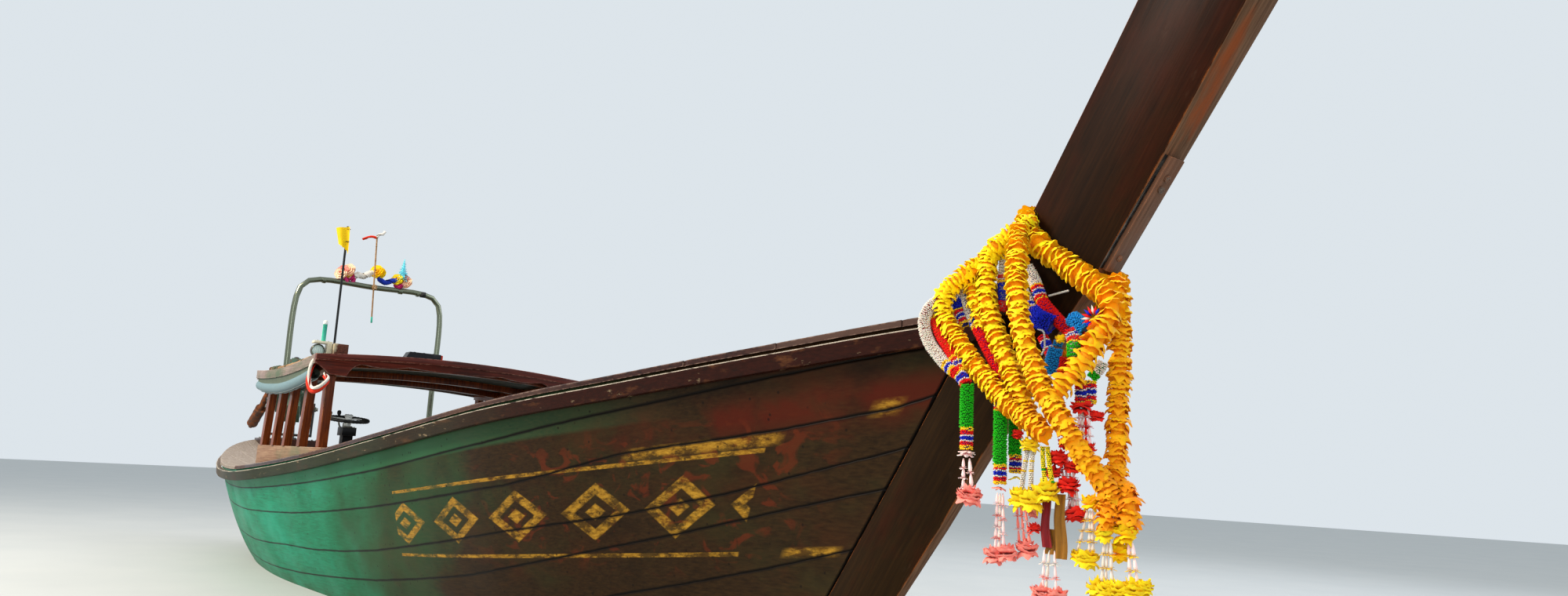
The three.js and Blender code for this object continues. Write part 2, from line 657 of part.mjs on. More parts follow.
// Steel arch on the stern deck.
const arch = { x: -2474, half: 622, top: 2435, radius: 24, bend: 150 };
function sternArch() {
  const { x, half, top, radius, bend } = arch;
  const foot = Math.max(deckTop(x - 60), deckTop(x + 60)) + gap;
  const side = (s) => [
    [x, s * (half + 12), foot],
    [x, s * (half + 8), 1500],
    [x, s * half, top - bend],
    [x, s * (half - bend * 0.3), top - bend * 0.3],
    [x, s * (half - bend), top],
  ];
  const bow = tube([...side(-1), [x, 0, top], ...side(1).reverse()], radius, 10, 48);
  const feet = [-1, 1].map((s) => box(x - 60, x + 60, s * (half + 12) - 60, s * (half + 12) + 60, foot, foot + 10));
  return joined(bow, ...feet);
}
add("stern_arch", sternArch(), paints.steel);
const cane = { x: arch.x + 40, y: 10, low: 2113, high: 2900 };
add("arch_swag", joined(tube([[arch.x, -310, 2508], [arch.x, -200, 2516], [arch.x, -80, 2548], [arch.x, 40, 2503],
  [arch.x, 150, 2495], [arch.x, 230, 2530], [arch.x, 310, 2518]], 32, 8, 26),
  rod(vec(arch.x, 247, 2540), vec(arch.x, 250, 2742), 48, 12, 6)), paints.redRibbon);
const lashing = box(arch.x + arch.radius + gap, cane.x + 10, cane.y - 26, cane.y + 12, arch.top - 12, arch.top + 12);
add("arch_cane", joined(rod(vec(cane.x, cane.y, cane.low), vec(cane.x, cane.y - 40, cane.high), 7, 8), lashing), paints.tan);

// Things carried on the roof
const onRoof = (x, y) => roofTop(x, y) + gap;
const pole = { x: -380, y: -800, top: 2520, radius: 8 };
const lampAt = vec(-410, -895, 1634);
add("flagpole", rod(vec(pole.x, pole.y, 1691), vec(pole.x - 30, pole.y, pole.top), pole.radius, 10), paints.darkSteel);
function flagCloth() {
  const outline = [[0, 0], [-140, 14], [-118, -160], [-60, -175], [-20, -225], [-8, -120]];
  const shape = new THREE.Shape(outline.map(([along, z]) => new THREE.Vector2(along, z)));
  const cloth = new THREE.ExtrudeGeometry(shape, { depth: 5, bevelEnabled: false });
  return cloth.rotateX(Math.PI / 2).rotateZ(0.9).translate(pole.x - 38.2, pole.y - 4, pole.top - 12);
}
add("flag", flagCloth(), paints.flag);
add("roof_lamp", joined(turned([[-50, 0], [-50, 30], [-15, 46], [10, 46], [14, 40], [14, 0]], lampAt, vec(1, 0, 0), 20),
  box(-440, -410, -911, -880, onRoof(-410, -880), 1604)), paints.glass);
add("lamp_bracket", joined(box(-445, -375, -843, -812, onRoof(-375, -812), 1684), box(-445, -375, -930, -812, 1684, 1700),
  rod(vec(-410, -866, 1695), vec(-410, -866, 1842), 14, 10)), paints.cream);
add("roof_block", box(-425, -345, -808, -712, onRoof(-345, -712), 1690.7), paints.brownVarnish);
add("roof_box", box(-640, -540, -288, 15, onRoof(-540, 0) + 1, 1700), paints.darkSteel);
add("roof_edge_pole", tube([[-1560, -915, roofTop(-1560, 890) + 20.5], [-1250, -915, roofTop(-1250, 890) + 19.5],
  [-900, -915, roofTop(-900, 890) + 19.5], [-500, -915, roofTop(-500, 890) + 21]], 21, 8, 12), paints.tan);

// Helm: a wheel that lies nearly level, on a pedestal from the floor
const helm = { x: -610, y: -585, z: 1192, radius: 132 };
const helmTilt = THREE.MathUtils.degToRad(8);
const helmAxis = vec(Math.sin(helmTilt), 0, Math.cos(helmTilt));
function helmPedestal() {
  const foot = floorLevel + 22 + gap;
  const head = vec(helm.x, helm.y, helm.z).addScaledVector(helmAxis, -46);
  return joined(box(helm.x - 50, helm.x + 50, helm.y + 30, helm.y + 125, foot, 950),
    box(helm.x - 45, helm.x + 45, helm.y - 35, helm.y + 125, 880, 960),
    box(helm.x - 36, helm.x + 36, helm.y - 35, helm.y + 35, 950, 1085), box(helm.x - 58, helm.x + 58, helm.y - 48, helm.y + 48, 1078, 1136),
    rod(head.clone().addScaledVector(helmAxis, -120), head, 26, 12));
}
function helmWheel() {
  const rim = new THREE.TorusGeometry(helm.radius, 13, 8, 28);
  const pieces = [rim, rod(vec(0, 0, -45.6), vec(0, 0, 22), 24, 12)];
  for (let k = 0; k < 3; k++) {
    const angle = (2 * Math.PI * k) / 3;
    pieces.push(rod(vec(0, 0, 0), vec(helm.radius * Math.cos(angle), helm.radius * Math.sin(angle), 0), 9, 8));
  }
  pieces.push(rod(vec(0, -helm.radius, 5), vec(0, -helm.radius, 52), 13, 10, 20));
  pieces.push(rod(vec(0, 0, 20), vec(0, 0, 34), 30, 12));
  const turn = new THREE.Quaternion().setFromUnitVectors(vec(0, 0, 1), helmAxis);
  return joined(...pieces).applyQuaternion(turn).translate(helm.x, helm.y, helm.z);
}
add("helm_pedestal", helmPedestal(), paints.darkSteel);
add("helm_wheel", helmWheel(), paints.rubber);

// Engine on its swivel at the stern. The swivel turns about Z, and the engine tips about its trunnions.
const bedThick = 40;
const bedTop = deckTop(pivot.x + 240) + bedThick + 60;
const swivel = new THREE.Group();
swivel.position.set(pivot.x, 0, bedTop);
swivel.rotation.z = -pivot.swing;
boat.add(swivel);
const tipping = new THREE.Group();
tipping.position.z = pivot.trunnion;
tipping.rotation.y = -pivot.drop;
swivel.add(tipping);

// A thick timber bed across the deck, its underside cut to the deck's rise.
function engineBed() {
  const xs = [-200, 0, 240].map((d) => pivot.x + d);
  const point = (i, j, top) => vec(xs[i], 560 * j - 280, top ? bedTop - gap : deckTop(xs[i]) + 2 * gap);
  return board(2, 1, (i, j) => point(i, j, true), (i, j) => point(i, j, false));
}
add("engine_bed", engineBed(), paints.redWood);

const ear = { inner: 205, thick: 22, long: 130 };
function swivelFork() {
  const plateTop = 60;
  const pieces = [rod(vec(0, 0, 0), vec(0, 0, 14), 90, 20), rod(vec(0, 0, 6), vec(0, 0, 40), 48, 16),
    box(-75, 75, -ear.inner - ear.thick, ear.inner + ear.thick, 35, plateTop)];
  for (const s of [-1, 1]) {
    const [y0, y1] = s > 0 ? [ear.inner, ear.inner + ear.thick] : [-ear.inner - ear.thick, -ear.inner];
    pieces.push(box(-ear.long / 2, ear.long / 2, y0, y1, 45, pivot.trunnion));
    pieces.push(rod(vec(0, y0, pivot.trunnion), vec(0, y1, pivot.trunnion), ear.long / 2, 20));
  }
  const bores = [-1, 1].map((s) => rod(vec(0, s * 190, pivot.trunnion), vec(0, s * 240, pivot.trunnion), 27, 20));
  return cut(joined(...pieces), ...bores);
}
add("swivel_fork", swivelFork(), paints.darkSteel, swivel);

// Everything from here tips with the engine. X runs along the crankshaft, and the tail points to -X.
function engineBlock() {
  const bell = turned([[-150, 0], [-150, 90], [-110, 100], [60, 150], [130, 165], [130, 0]], vec(0, 0, 0),
    vec(1, 0, 0), 20);
  const pins = rod(vec(0, -236, 0), vec(0, 236, 0), 26.3, 20);
  const sump = box(140, 540, -95, 95, -225, -100);
  const ribs = [200, 290, 380, 470].map((x) => box(x - 12, x + 12, -158, 158, -80, 130));
  return joined(bell, pins, sump, box(120, 570, -148, 148, -115, 165), box(560, 600, -120, 120, -110, 165), ...ribs);
}
add("engine_block", engineBlock(), paints.castIron, tipping);
add("cylinder_head", joined(box(125, 565, -105, 105, 165 + gap, 245), box(140, 550, -70, 70, 240, 300),
  box(150, 540, -45, 45, 295, 318)), paints.castIron, tipping);

function exhaust() {
  const pieces = [box(190, 500, -168, -105 - gap, 180, 232)];
  for (const x of [210, 300, 390, 480]) pieces.push(rod(vec(x, -150, 206), vec(x, -212, 190), 22, 10));
  pieces.push(tube([[500, -212, 188], [330, -215, 188], [150, -215, 150], [60, -262, 60], [-60, -300, -20]], 30, 10, 22));
  pieces.push(rod(vec(-40, -294, -8), vec(-330, -372, -50), 52, 14));
  return joined(...pieces);
}
add("exhaust_pipe", exhaust(), paints.darkSteel, tipping);
add("air_cleaner", joined(turned([[0, 0], [0, 118], [46, 124], [60, 96], [60, 0]], vec(330, 236, 232), vec(0, 0, 1), 20),
  rod(vec(330, 236, 200), vec(330, 236, 236), 32, 12), box(240, 420, 105 + gap, 250, 178, 214)), paints.cream, tipping);

function frontPulleys() {
  const x0 = 600 + gap;
  const wheel = (y, z, r) => turned([[0, 0], [0, r], [10, r - 9], [20, r], [34, r], [34, 0]], vec(x0 + 14, y, z),
    vec(1, 0, 0), 20);
  const shaft = (y, z) => rod(vec(x0, y, z), vec(x0 + 20, y, z), 18, 10);
  const spots = [[0, -30, 78], [0, 130, 60], [222, 40, 42]];
  const hull = spots.map(([y, z, r]) => new THREE.Vector3(y, z, r));
  const belt = [[0, 1], [1, 2], [2, 0]].map(([a, b]) => {
    const along = vec(0, hull[b].x - hull[a].x, hull[b].y - hull[a].y).normalize();
    const out = vec(0, along.z, -along.y);
    const middle = vec(0, 70, 50);
    const sign = Math.sign(out.dot(vec(0, hull[a].x, hull[a].y).sub(middle))) || 1;
    const at = (p) => vec(x0 + 24, p.x, p.y).addScaledVector(out, sign * (p.z - 5));
    return rod(at(hull[a]), at(hull[b]), 8, 6);
  });
  return joined(...spots.map(([y, z, r]) => wheel(y, z, r)), shaft(0, -30), shaft(0, 130), ...belt);
}
add("front_pulleys", frontPulleys(), paints.darkSteel, tipping);
add("alternator", joined(rod(vec(470, 222, 40), vec(590, 222, 40), 58, 18), box(500, 550, 148 + gap, 180, 10, 70),
  rod(vec(585, 222, 40), vec(600, 222, 40), 14, 10)), paints.steel, tipping);

// Tail tube, bracket and skeg, propeller
add("tail_tube", joined(rod(vec(-150 - gap, 0, 0), vec(-175, 0, 0), 88, 20), rod(vec(-170, 0, 0), vec(-420, 0, 0), 62, 16, 42),
  rod(vec(-400, 0, 0), vec(-tailLong, 0, 0), tailRadius, 16), rod(vec(-tailLong + 140, 0, 0), vec(-tailLong, 0, 0), 46, 16)),
  paints.darkSteel, tipping);
const skegPlate = uprightPlate([[-3180, -tailRadius - gap], [-3560, -240], [-4280, -250], [-4330, -228], [-4240, -212],
  [-3700, -200], [-3480, -tailRadius - gap]], -6, 6);
add("tail_skeg", skegPlate, paints.darkSteel, tipping);

function propeller() {
  const start = -tailLong - 1;
  const pieces = [rod(vec(start, 0, 0), vec(start - 40, 0, 0), 20, 14), rod(vec(start - 30, 0, 0), vec(start - 130, 0, 0), 34, 16, 30),
    rod(vec(start - 125, 0, 0), vec(start - 165, 0, 0), 30, 16, 8)];
  const [blades, tip] = [3, 160];
  for (let b = 0; b < blades; b++) {
    const turnBy = (2 * Math.PI * b) / blades;
    const point = (i, j, thick) => {
      const r = 24 + ((tip - 24) * i) / 6;
      const chord = 46 * Math.sin(Math.PI * (0.2 + (0.72 * i) / 6)) + 6;
      const pitch = Math.atan2(52, r);
      const s = (j / 4 - 0.5) * 2 * chord;
      const p = vec(start - 80 + s * Math.sin(pitch) + thick * Math.cos(pitch), s * Math.cos(pitch) - thick * Math.sin(pitch), r);
      return p.applyAxisAngle(vec(1, 0, 0), turnBy);
    };
    pieces.push(board(6, 4, (i, j) => point(i, j, 3.5 - i * 0.35), (i, j) => point(i, j, -3.5 + i * 0.35)));
  }
  return joined(...pieces);
}
add("propeller", propeller(), paints.brass, tipping);

// Tiller bar bolted to the port side of the block, bent round the front of the engine
add("tiller_bar", joined(tube([[170, 178, -40], [420, 182, -60], [700, 176, -90], [1050, 120, -140], [1420, 60, -190]], 17, 10, 26),
  box(180, 300, 158 + gap, 182, -70, -10), tube([[1290, 82, -173], [1420, 60, -190]], 24, 10, 3)), paints.darkSteel, tipping);

// Flower garlands over the stem: soft ropes of marigolds, a beaded loop, ribbons and hanging tassels.
// Routes are hand-chosen points, down the starboard side of the stem and round to its port side.
const marigoldRadius = 32;
const marigoldRoutes = [
  [[4965, -80, 1815], [4870, -140, 1715], [4760, -210, 1600], [4750, -220, 1530], [4805, -220, 1450], [4895, -220, 1375],
    [5020, -220, 1245], [5085, -220, 1215]],
  [[4965, -80, 1785], [4935, -120, 1720], [4900, -165, 1575], [4935, -175, 1495], [5005, -190, 1340], [5060, -205, 1265],
    [5115, -220, 1215]],
  [[4965, -80, 1830], [5050, -200, 1630], [5105, -240, 1445], [5145, -240, 1315], [5165, -240, 1245], [5245, -230, 1130],
    [5315, -170, 1010], [5365, -120, 905], [5380, -120, 860]],
  [[4970, -80, 1775], [5075, -82, 1705], [5225, -84, 1590], [5290, -88, 1555], [5325, -100, 1510], [5315, -120, 1445],
    [5270, -140, 1370], [5200, -200, 1255], [5160, -220, 1215]],
  [[4950, -88, 1815], [4912, -56, 1832], [4892, 0, 1838], [4912, 56, 1832], [4953, 89, 1800], [5110, 84, 1700], [5240, 84, 1610], [5320, 20, 1555],
    [5325, -40, 1490], [5322, -55, 1325], [5325, -75, 1120], [5330, -110, 980], [5355, -120, 920]],
  [[4975, 82, 1790], [4900, 150, 1690], [4890, 190, 1540], [4950, 205, 1390], [5060, 205, 1290], [5170, 190, 1370],
    [5230, 150, 1500], [5245, 86, 1600]],
];

// A string of bars joined end to end. Each stage: x, y, z and the radius there.
const strand = (...stages) =>
  stages.slice(1).map(([x, y, z, radius], i) => {
    const [fx, fy, fz, from] = stages[i];
    return rod(vec(fx, fy, fz), vec(x, y, z), from, 10, radius);
  });
const hangings = [
  strand([5005, -215, 1255, 21], [5009, -215, 1031, 21], [5004, -215, 977, 22], [5006, -215, 782, 40], [5007, -215, 745, 44]),
  strand([5060, -200, 1262, 10], [5018, -150, 1185, 20], [5018, -150, 1066, 20], [5032, -150, 1004, 20],
    [5053, -150, 802, 36], [5054, -150, 770, 38]),
  strand([5112, -215, 1225, 14], [5118, -210, 1110, 30], [5120, -210, 1073, 40], [5129, -210, 968, 36], [5133, -210, 955, 60],
    [5135, -210, 907, 56]),
  strand([5160, -215, 1222, 8], [5177, -125, 1085, 40], [5183, -120, 976, 60], [5210, -120, 916, 30], [5215, -120, 883, 34]),
  strand([5132, -205, 915, 6], [5183, -190, 798, 8], [5183, -190, 780, 40], [5185, -190, 663, 52]),
  strand([5290, -190, 1052, 8], [5262, -130, 914, 20], [5250, -130, 812, 32], [5250, -130, 752, 52]),
  strand([5358, -120, 945, 40], [5358, -120, 831, 62], [5366, -120, 730, 60], [5368, -120, 722, 78], [5368, -120, 683, 74]),
];
const beadLoop = tube([[4872, -140, 1716], [4819, -275, 1561], [4767, -275, 1551], [4715, -275, 1500], [4741, -275, 1415],
  [4810, -275, 1347], [4862, -275, 1300], [4917, -275, 1248]], 22, 8, 26);
const ribbons = [box(5148, 5192, -193, -187, 801, 950), box(5190, 5240, -194, -188, 770, 950)];
const beadTassel = strand([4916, -275, 1260, 22], [4921, -275, 1134, 22], [4926, -275, 1074, 20], [4942, -275, 952, 44],
  [4943, -275, 915, 46]);
add("garland_flowers", joined(...marigoldRoutes.map((route) => tube(route, marigoldRadius, 8, 2 * route.length + 2)),
  ...hangings.flat(), beadLoop, ...beadTassel, ...ribbons), paints.marigold);

export default boat;
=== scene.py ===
from math import cos, exp, pi, radians, sin, sqrt
import random
from functools import partial

import bpy
import bmesh
from mathutils import Matrix, Vector
from mathutils.noise import noise


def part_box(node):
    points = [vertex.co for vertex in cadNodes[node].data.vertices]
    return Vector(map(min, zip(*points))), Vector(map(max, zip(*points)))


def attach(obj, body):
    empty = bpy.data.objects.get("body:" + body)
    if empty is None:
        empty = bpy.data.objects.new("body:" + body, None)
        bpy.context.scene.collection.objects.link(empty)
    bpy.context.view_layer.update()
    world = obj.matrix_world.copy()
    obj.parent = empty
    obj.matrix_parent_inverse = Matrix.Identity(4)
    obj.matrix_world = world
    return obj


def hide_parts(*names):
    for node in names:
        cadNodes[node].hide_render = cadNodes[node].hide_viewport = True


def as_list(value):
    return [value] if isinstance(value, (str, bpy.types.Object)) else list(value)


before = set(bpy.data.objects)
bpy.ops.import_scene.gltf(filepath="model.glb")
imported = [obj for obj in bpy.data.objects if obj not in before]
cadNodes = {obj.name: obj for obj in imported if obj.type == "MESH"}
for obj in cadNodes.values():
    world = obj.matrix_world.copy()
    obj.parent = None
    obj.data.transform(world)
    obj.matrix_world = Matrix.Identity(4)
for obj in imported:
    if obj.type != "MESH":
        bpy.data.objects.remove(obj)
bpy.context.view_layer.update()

# camera
view = {
    "place": (7.1453, -2.7100, 0.9604),
    "right": (0.61427, 0.78730, 0.05317),
    "up": (0.10035, -0.14477, 0.98436),
    "lensMm": 23.99,
    "sensorMm": 36.0,
}


def placeCamera():
    right = Vector(view["right"]).normalized()
    up = Vector(view["up"])
    up = (up - right * up.dot(right)).normalized()
    back = right.cross(up)
    turn = Matrix((right, up, back)).transposed().to_4x4()
    lens = bpy.data.cameras.new("camera")
    lens.lens = view["lensMm"]
    lens.sensor_width = view["sensorMm"]
    lens.clip_end = 300
    eye = bpy.data.objects.new("camera", lens)
    eye.matrix_world = Matrix.Translation(view["place"]) @ turn
    bpy.context.scene.collection.objects.link(eye)
    bpy.context.scene.camera = eye


placeCamera()
print("camera placed")


# colours and nodes
usual = {"Mix": {"data_type": "RGBA"}, "Math": {"operation": "MULTIPLY"},
    "VectorMath": {"operation": "DOT_PRODUCT"}}


def linear(hexColour):
    channels = [int(hexColour[k : k + 2], 16) / 255 for k in (1, 3, 5)]
    curve = [c / 12.92 if c <= 0.04045 else ((c + 0.055) / 1.055) ** 2.4 for c in channels]
    return (*curve, 1.0)


def addNode(tree, kind, inputs=(), out=None, **settings):
    # inputs go by name or number, or as a list to the open sockets in their order; an output comes back
    node = tree.nodes.new("ShaderNode" + kind)
    for key, value in {**usual.get(kind, {}), **settings}.items():
        setattr(node, key, value)
    if isinstance(inputs, dict):
        pairs = [(node.inputs[key], value) for key, value in inputs.items()]
    else:
        pairs = zip([socket for socket in node.inputs if socket.enabled], inputs)
    for socket, value in pairs:
        if isinstance(value, bpy.types.NodeSocket):
            tree.links.new(value, socket)
        else:
            socket.default_value = linear(value) if isinstance(value, str) else value
    if out is not None:
        return node.outputs[out]
    return next((socket for socket in node.outputs if socket.enabled), None)


def startMaterial(name, shaderInputs):
    material = bpy.data.materials.new(name)
    material.use_nodes = True
    material.node_tree.nodes.clear()
    add = partial(addNode, material.node_tree)
    surface = add("BsdfPrincipled", {"Specular IOR Level": 0.22, **shaderInputs})
    add("OutputMaterial", {"Surface": surface})
    return material, add, surface.node, add("TexCoord", out="Object")


def finishMaterial(material, add, shader, colour, mask, gloss, *bumps):
    # roughness runs over gloss as the mask goes from 0 to 1; a bump is height, depth in mm, strength
    link = material.node_tree.links.new
    link(colour, shader.inputs["Base Color"])
    if mask:
        link(add("MapRange", {"Value": mask, "To Min": gloss[0], "To Max": gloss[1]}),
            shader.inputs["Roughness"])
    normal = {}
    for height, depthMm, strength in bumps:
        bump = add("Bump", {"Height": height, "Distance": depthMm / 1000, "Strength": strength, **normal})
        normal = {"Normal": bump}
        link(bump, shader.inputs["Normal"])
    return material


def blotches(add, place, under, over, sizeMm, low, high, stretch=(1, 1, 1), seed=0.0, most=1.0):
    # the over colour shows through in blotches about sizeMm wide
    shifted = add("Mapping", {"Vector": place, "Scale": stretch, "Location": (seed, seed * 0.7, seed * 1.3)})
    cloud = add("TexNoise", {"Vector": shifted, "Scale": 1000 / sizeMm, "Detail": 5.0, "Roughness": 0.62})
    mask = add("MapRange", [cloud, low, high, 0, most])
    return add("Mix", [mask, under, over]), mask


def coats(add, place, colour, *layers):
    # blotches of several colours, one over the other
    for layer in layers:
        colour, _ = blotches(add, place, colour, *layer)
    return colour


def edgeMask(add, radiusMm):
    # 1 along the outer edges of a board, 0 on its flats
    rounded = add("Bevel", {"Radius": radiusMm / 1000}, samples=4)
    match = add("VectorMath", [rounded, add("NewGeometry", out="Normal")])
    return add("MapRange", [match, 0.995, 0.93])


def rubbed(add, place, colour, worn, edgeMm, chipScale, detail, low, high):
    # the worn colour along the edges, broken up where chips have gone
    chips = add("TexNoise", {"Vector": place, "Scale": chipScale, "Detail": detail})
    chipped = add("Math", [edgeMask(add, edgeMm), add("MapRange", [chips, low, high])])
    return add("Mix", [chipped, colour, worn])


def inBand(add, value, start, full, last, end):
    # 1 from full to last, fading out to start and end
    return add("Math", [add("MapRange", [value, start, full]), add("MapRange", [value, end, last])])


def farFrom(add, value, centre):
    return add("Math", [add("Math", [value, centre], operation="SUBTRACT")], operation="ABSOLUTE")


# wood
def timber(name, dark, pale, stain, worn, grainTurn=(0, 0, 0), gloss=(0.35, 0.65), edgeMm=5.0,
        stainShare=(0.52, 0.7),
        seed=0.0, grime="#1b130d"):
    # a board sawn along its grain: streaks about 9 mm wide and some 300 mm long, worn pale at its edges
    material, add, shader, place = startMaterial(name, {"IOR": 1.5, "Metallic": 0.0})
    turned = add("Mapping", {"Vector": place, "Rotation": grainTurn, "Location": (seed, seed, seed)})
    grain = add("Mapping", {"Vector": turned, "Scale": (0.035, 1, 1)})
    streak = add("TexNoise", {"Vector": grain, "Scale": 110.0, "Detail": 4.0, "Roughness": 0.6,
        "Distortion": 0.4})
    base = add("Mix", [add("MapRange", [streak, 0.32, 0.7]), dark, pale])
    base, stains = blotches(add, turned, base, stain, 420, *stainShare, (0.4, 1, 1), seed + 3)
    base, _ = blotches(add, turned, base, grime, 90, 0.6, 0.8, seed=seed + 9, most=0.55)
    base = rubbed(add, turned, base, worn, edgeMm, 38.0, 4.0, 0.4, 0.6)
    return finishMaterial(material, add, shader, base, stains, gloss, (streak, 0.9, 0.5))


quarter = pi / 2
stemLean = radians(55)
flat = (0, 0, 0)  # grain along the boat
acrossBoat = (0, 0, quarter)
upright = (0, quarter, 0)
# hardwood posts under many coats of varnish: satin, with a lighter rubbed edge
postVarnish = timber("varnishedPosts", "#4a1c0a", "#8e4218", "#2c1006", "#c07a3a", upright, (0.28, 0.5), 5,
    seed=2.0)
# fascia boards in the sun: varnish gone chalky on the upper edge
fasciaFront = timber("fadedVarnish", "#3a140d", "#6b2c20", "#22100b", "#b8806a", acrossBoat, (0.3, 0.6), 7,
    seed=4.0)
fasciaSide = timber("bleachedFascia", "#6a554b", "#9c8478", "#56624f", "#c4b0a4", seed=5.0,
    stainShare=(0.5, 0.62))
# bare and half-bare boards: dull, the varnish gone from their tops
coamingWood = timber("weatheredCoaming", "#77543c", "#9b7c60", "#626a53", "#b29b8c", flat, (0.55, 0.8), 6,
    (0.5, 0.68), 6.0)
washWood = timber("wornWashboard", "#1c0c08", "#3f2018", "#4a3228", "#8c7060", flat, (0.3, 0.7), 7,
    (0.5, 0.64), 7.0)
deckWood = timber("bareDeckBoards", "#7a6d61", "#9e9288", "#685e52", "#ada49a", flat, (0.7, 0.9), 5,
    (0.55, 0.7), 8.0, "#342c25")
insideWood = timber("weatheredBoards", "#473c2f", "#6c5f4d", "#384335", "#807361", flat, (0.7, 0.92), 4,
    (0.5, 0.7), 9.0, "#211c16")
roofWood = timber("paintedRoofBoards", "#464d46", "#5b625a", "#6c6255", "#828075", flat, (0.6, 0.85), 4,
    (0.52, 0.66), 10.0,
    "#232621")
keelWood = timber("tarredKeel", "#1a110b", "#312218", "#3e3e2b", "#5a4c39", flat, (0.5, 0.8), 5, seed=11.0)
blockWood = timber("offcutBlock", "#331209", "#6d3924", "#ac9f83", "#b29f88", flat, (0.5, 0.8), 6,
    (0.56, 0.62), 12.0)
caneWood = timber("driedCane", "#835a30", "#b38f65", "#674627", "#c6b08f", flat, (0.5, 0.7), 3, seed=13.0)
# hardwood strip, sun-bleached to a brownish pink like the face it covers
stripVarnish = timber("bleachedStemStrip", "#4a3222", "#735440", "#7d482a", "#a0623c", (0, stemLean, 0),
    (0.45, 0.7), 3, seed=15.0)


def stemVarnish():
    # one thick hardwood plank, varnished over and over: red-brown, glossy; its leading face paler, partly
    # rubbed bare and partly a painted highlight where that face catches the light
    material, add, shader, place = startMaterial("stemPlankVarnish",
        {"IOR": 1.45, "Specular IOR Level": 0.04})
    turned = add("Mapping", {"Vector": place, "Rotation": (0, stemLean, 0)})
    grain = add("Mapping", {"Vector": turned, "Scale": (0.04, 1, 1)})
    streak = add("TexNoise", {"Vector": grain, "Scale": 90.0, "Detail": 5.0, "Roughness": 0.65,
        "Distortion": 0.3})
    tone = add("MapRange", [streak, 0.3, 0.72])
    climb = add("MapRange", [add("SeparateXYZ", [place], 2), 1.3, 2.7])
    side = add("Mix", [climb, add("Mix", [tone, "#1c1208", "#2b1c0c"]),
        add("Mix", [tone, "#170704", "#2c1208"])])
    side, _ = blotches(add, turned, side, "#3a1408", 260, 0.5, 0.72, (0.5, 1, 1), 2.0, 0.6)
    side, dull = blotches(add, turned, side, "#0c0503", 330, 0.5, 0.75, (0.35, 1, 1), 5.0, 0.75)
    side, _ = blotches(add, turned, side, "#4a3a2c", 70, 0.66, 0.8, (0.3, 1, 1), 7.0, 0.4)
    # the paler colour for faces turned ahead: bare rubbed wood, and painted light on the lit leading face
    bareAndLitFace = add("Mix", [tone, "#4a3222", "#7d5c44"])
    bareAndLitFace, _ = blotches(add, turned, bareAndLitFace, "#8a4420", 120, 0.56, 0.7, (0.25, 1, 1), 8.0, 0.8)
    ahead = add("VectorMath", [add("NewGeometry", out="Normal"), (0.82, 0, -0.57)])
    colour = add("Mix", [add("MapRange", [ahead, 0.6, 0.7]), side, bareAndLitFace])
    colour = rubbed(add, turned, colour, "#9a5426", 7, 14.0, 5.0, 0.42, 0.56)
    return finishMaterial(material, add, shader, colour, dull, (0.36, 0.6), (streak, 1.2, 0.45))


stemWood = stemVarnish()


# the hull's paint
paint = {  # stations in metres along the boat, heights as a share of the planking's
    # a worn gold band of lozenges between two lines, painted along the topsides
    "from": 1.05, "to": 3.95, "centre": 0.64, "pitch": 0.29, "half": 0.105, "border": 0.165, "line": 0.0065,
    # old smears of the same paint along two seams: first and last station, height, half-width
    "smears": ((3.1, 4.02, 0.79, 0.012), (4.5, 4.6, 0.832, 0.014), (4.3, 4.66, 0.517, 0.009)),
    # teal-green coats for the stern half: partly paint, partly painted reflection of green water
    "green": [
        ("#1c9878", 300, 0.48, 0.7, (0.6, 1, 1), 1.0, 0.7), ("#0b4a36", 160, 0.58, 0.74, (0.5, 1, 1), 3.0,
        0.5),
        ("#2c5a30", 420, 0.58, 0.76, (0.5, 1, 1.4), 5.0, 0.45),
    ],
    "brown": [
        ("#3f200d", 420, 0.5, 0.7, (0.4, 1, 1), 6.0, 0.6), ("#2c2a14", 350, 0.5, 0.7, (0.5, 1, 1), 8.0, 0.7),
        ("#130b06", 190, 0.55, 0.72, (0.4, 1, 1), 9.0, 0.6),
    ],
}


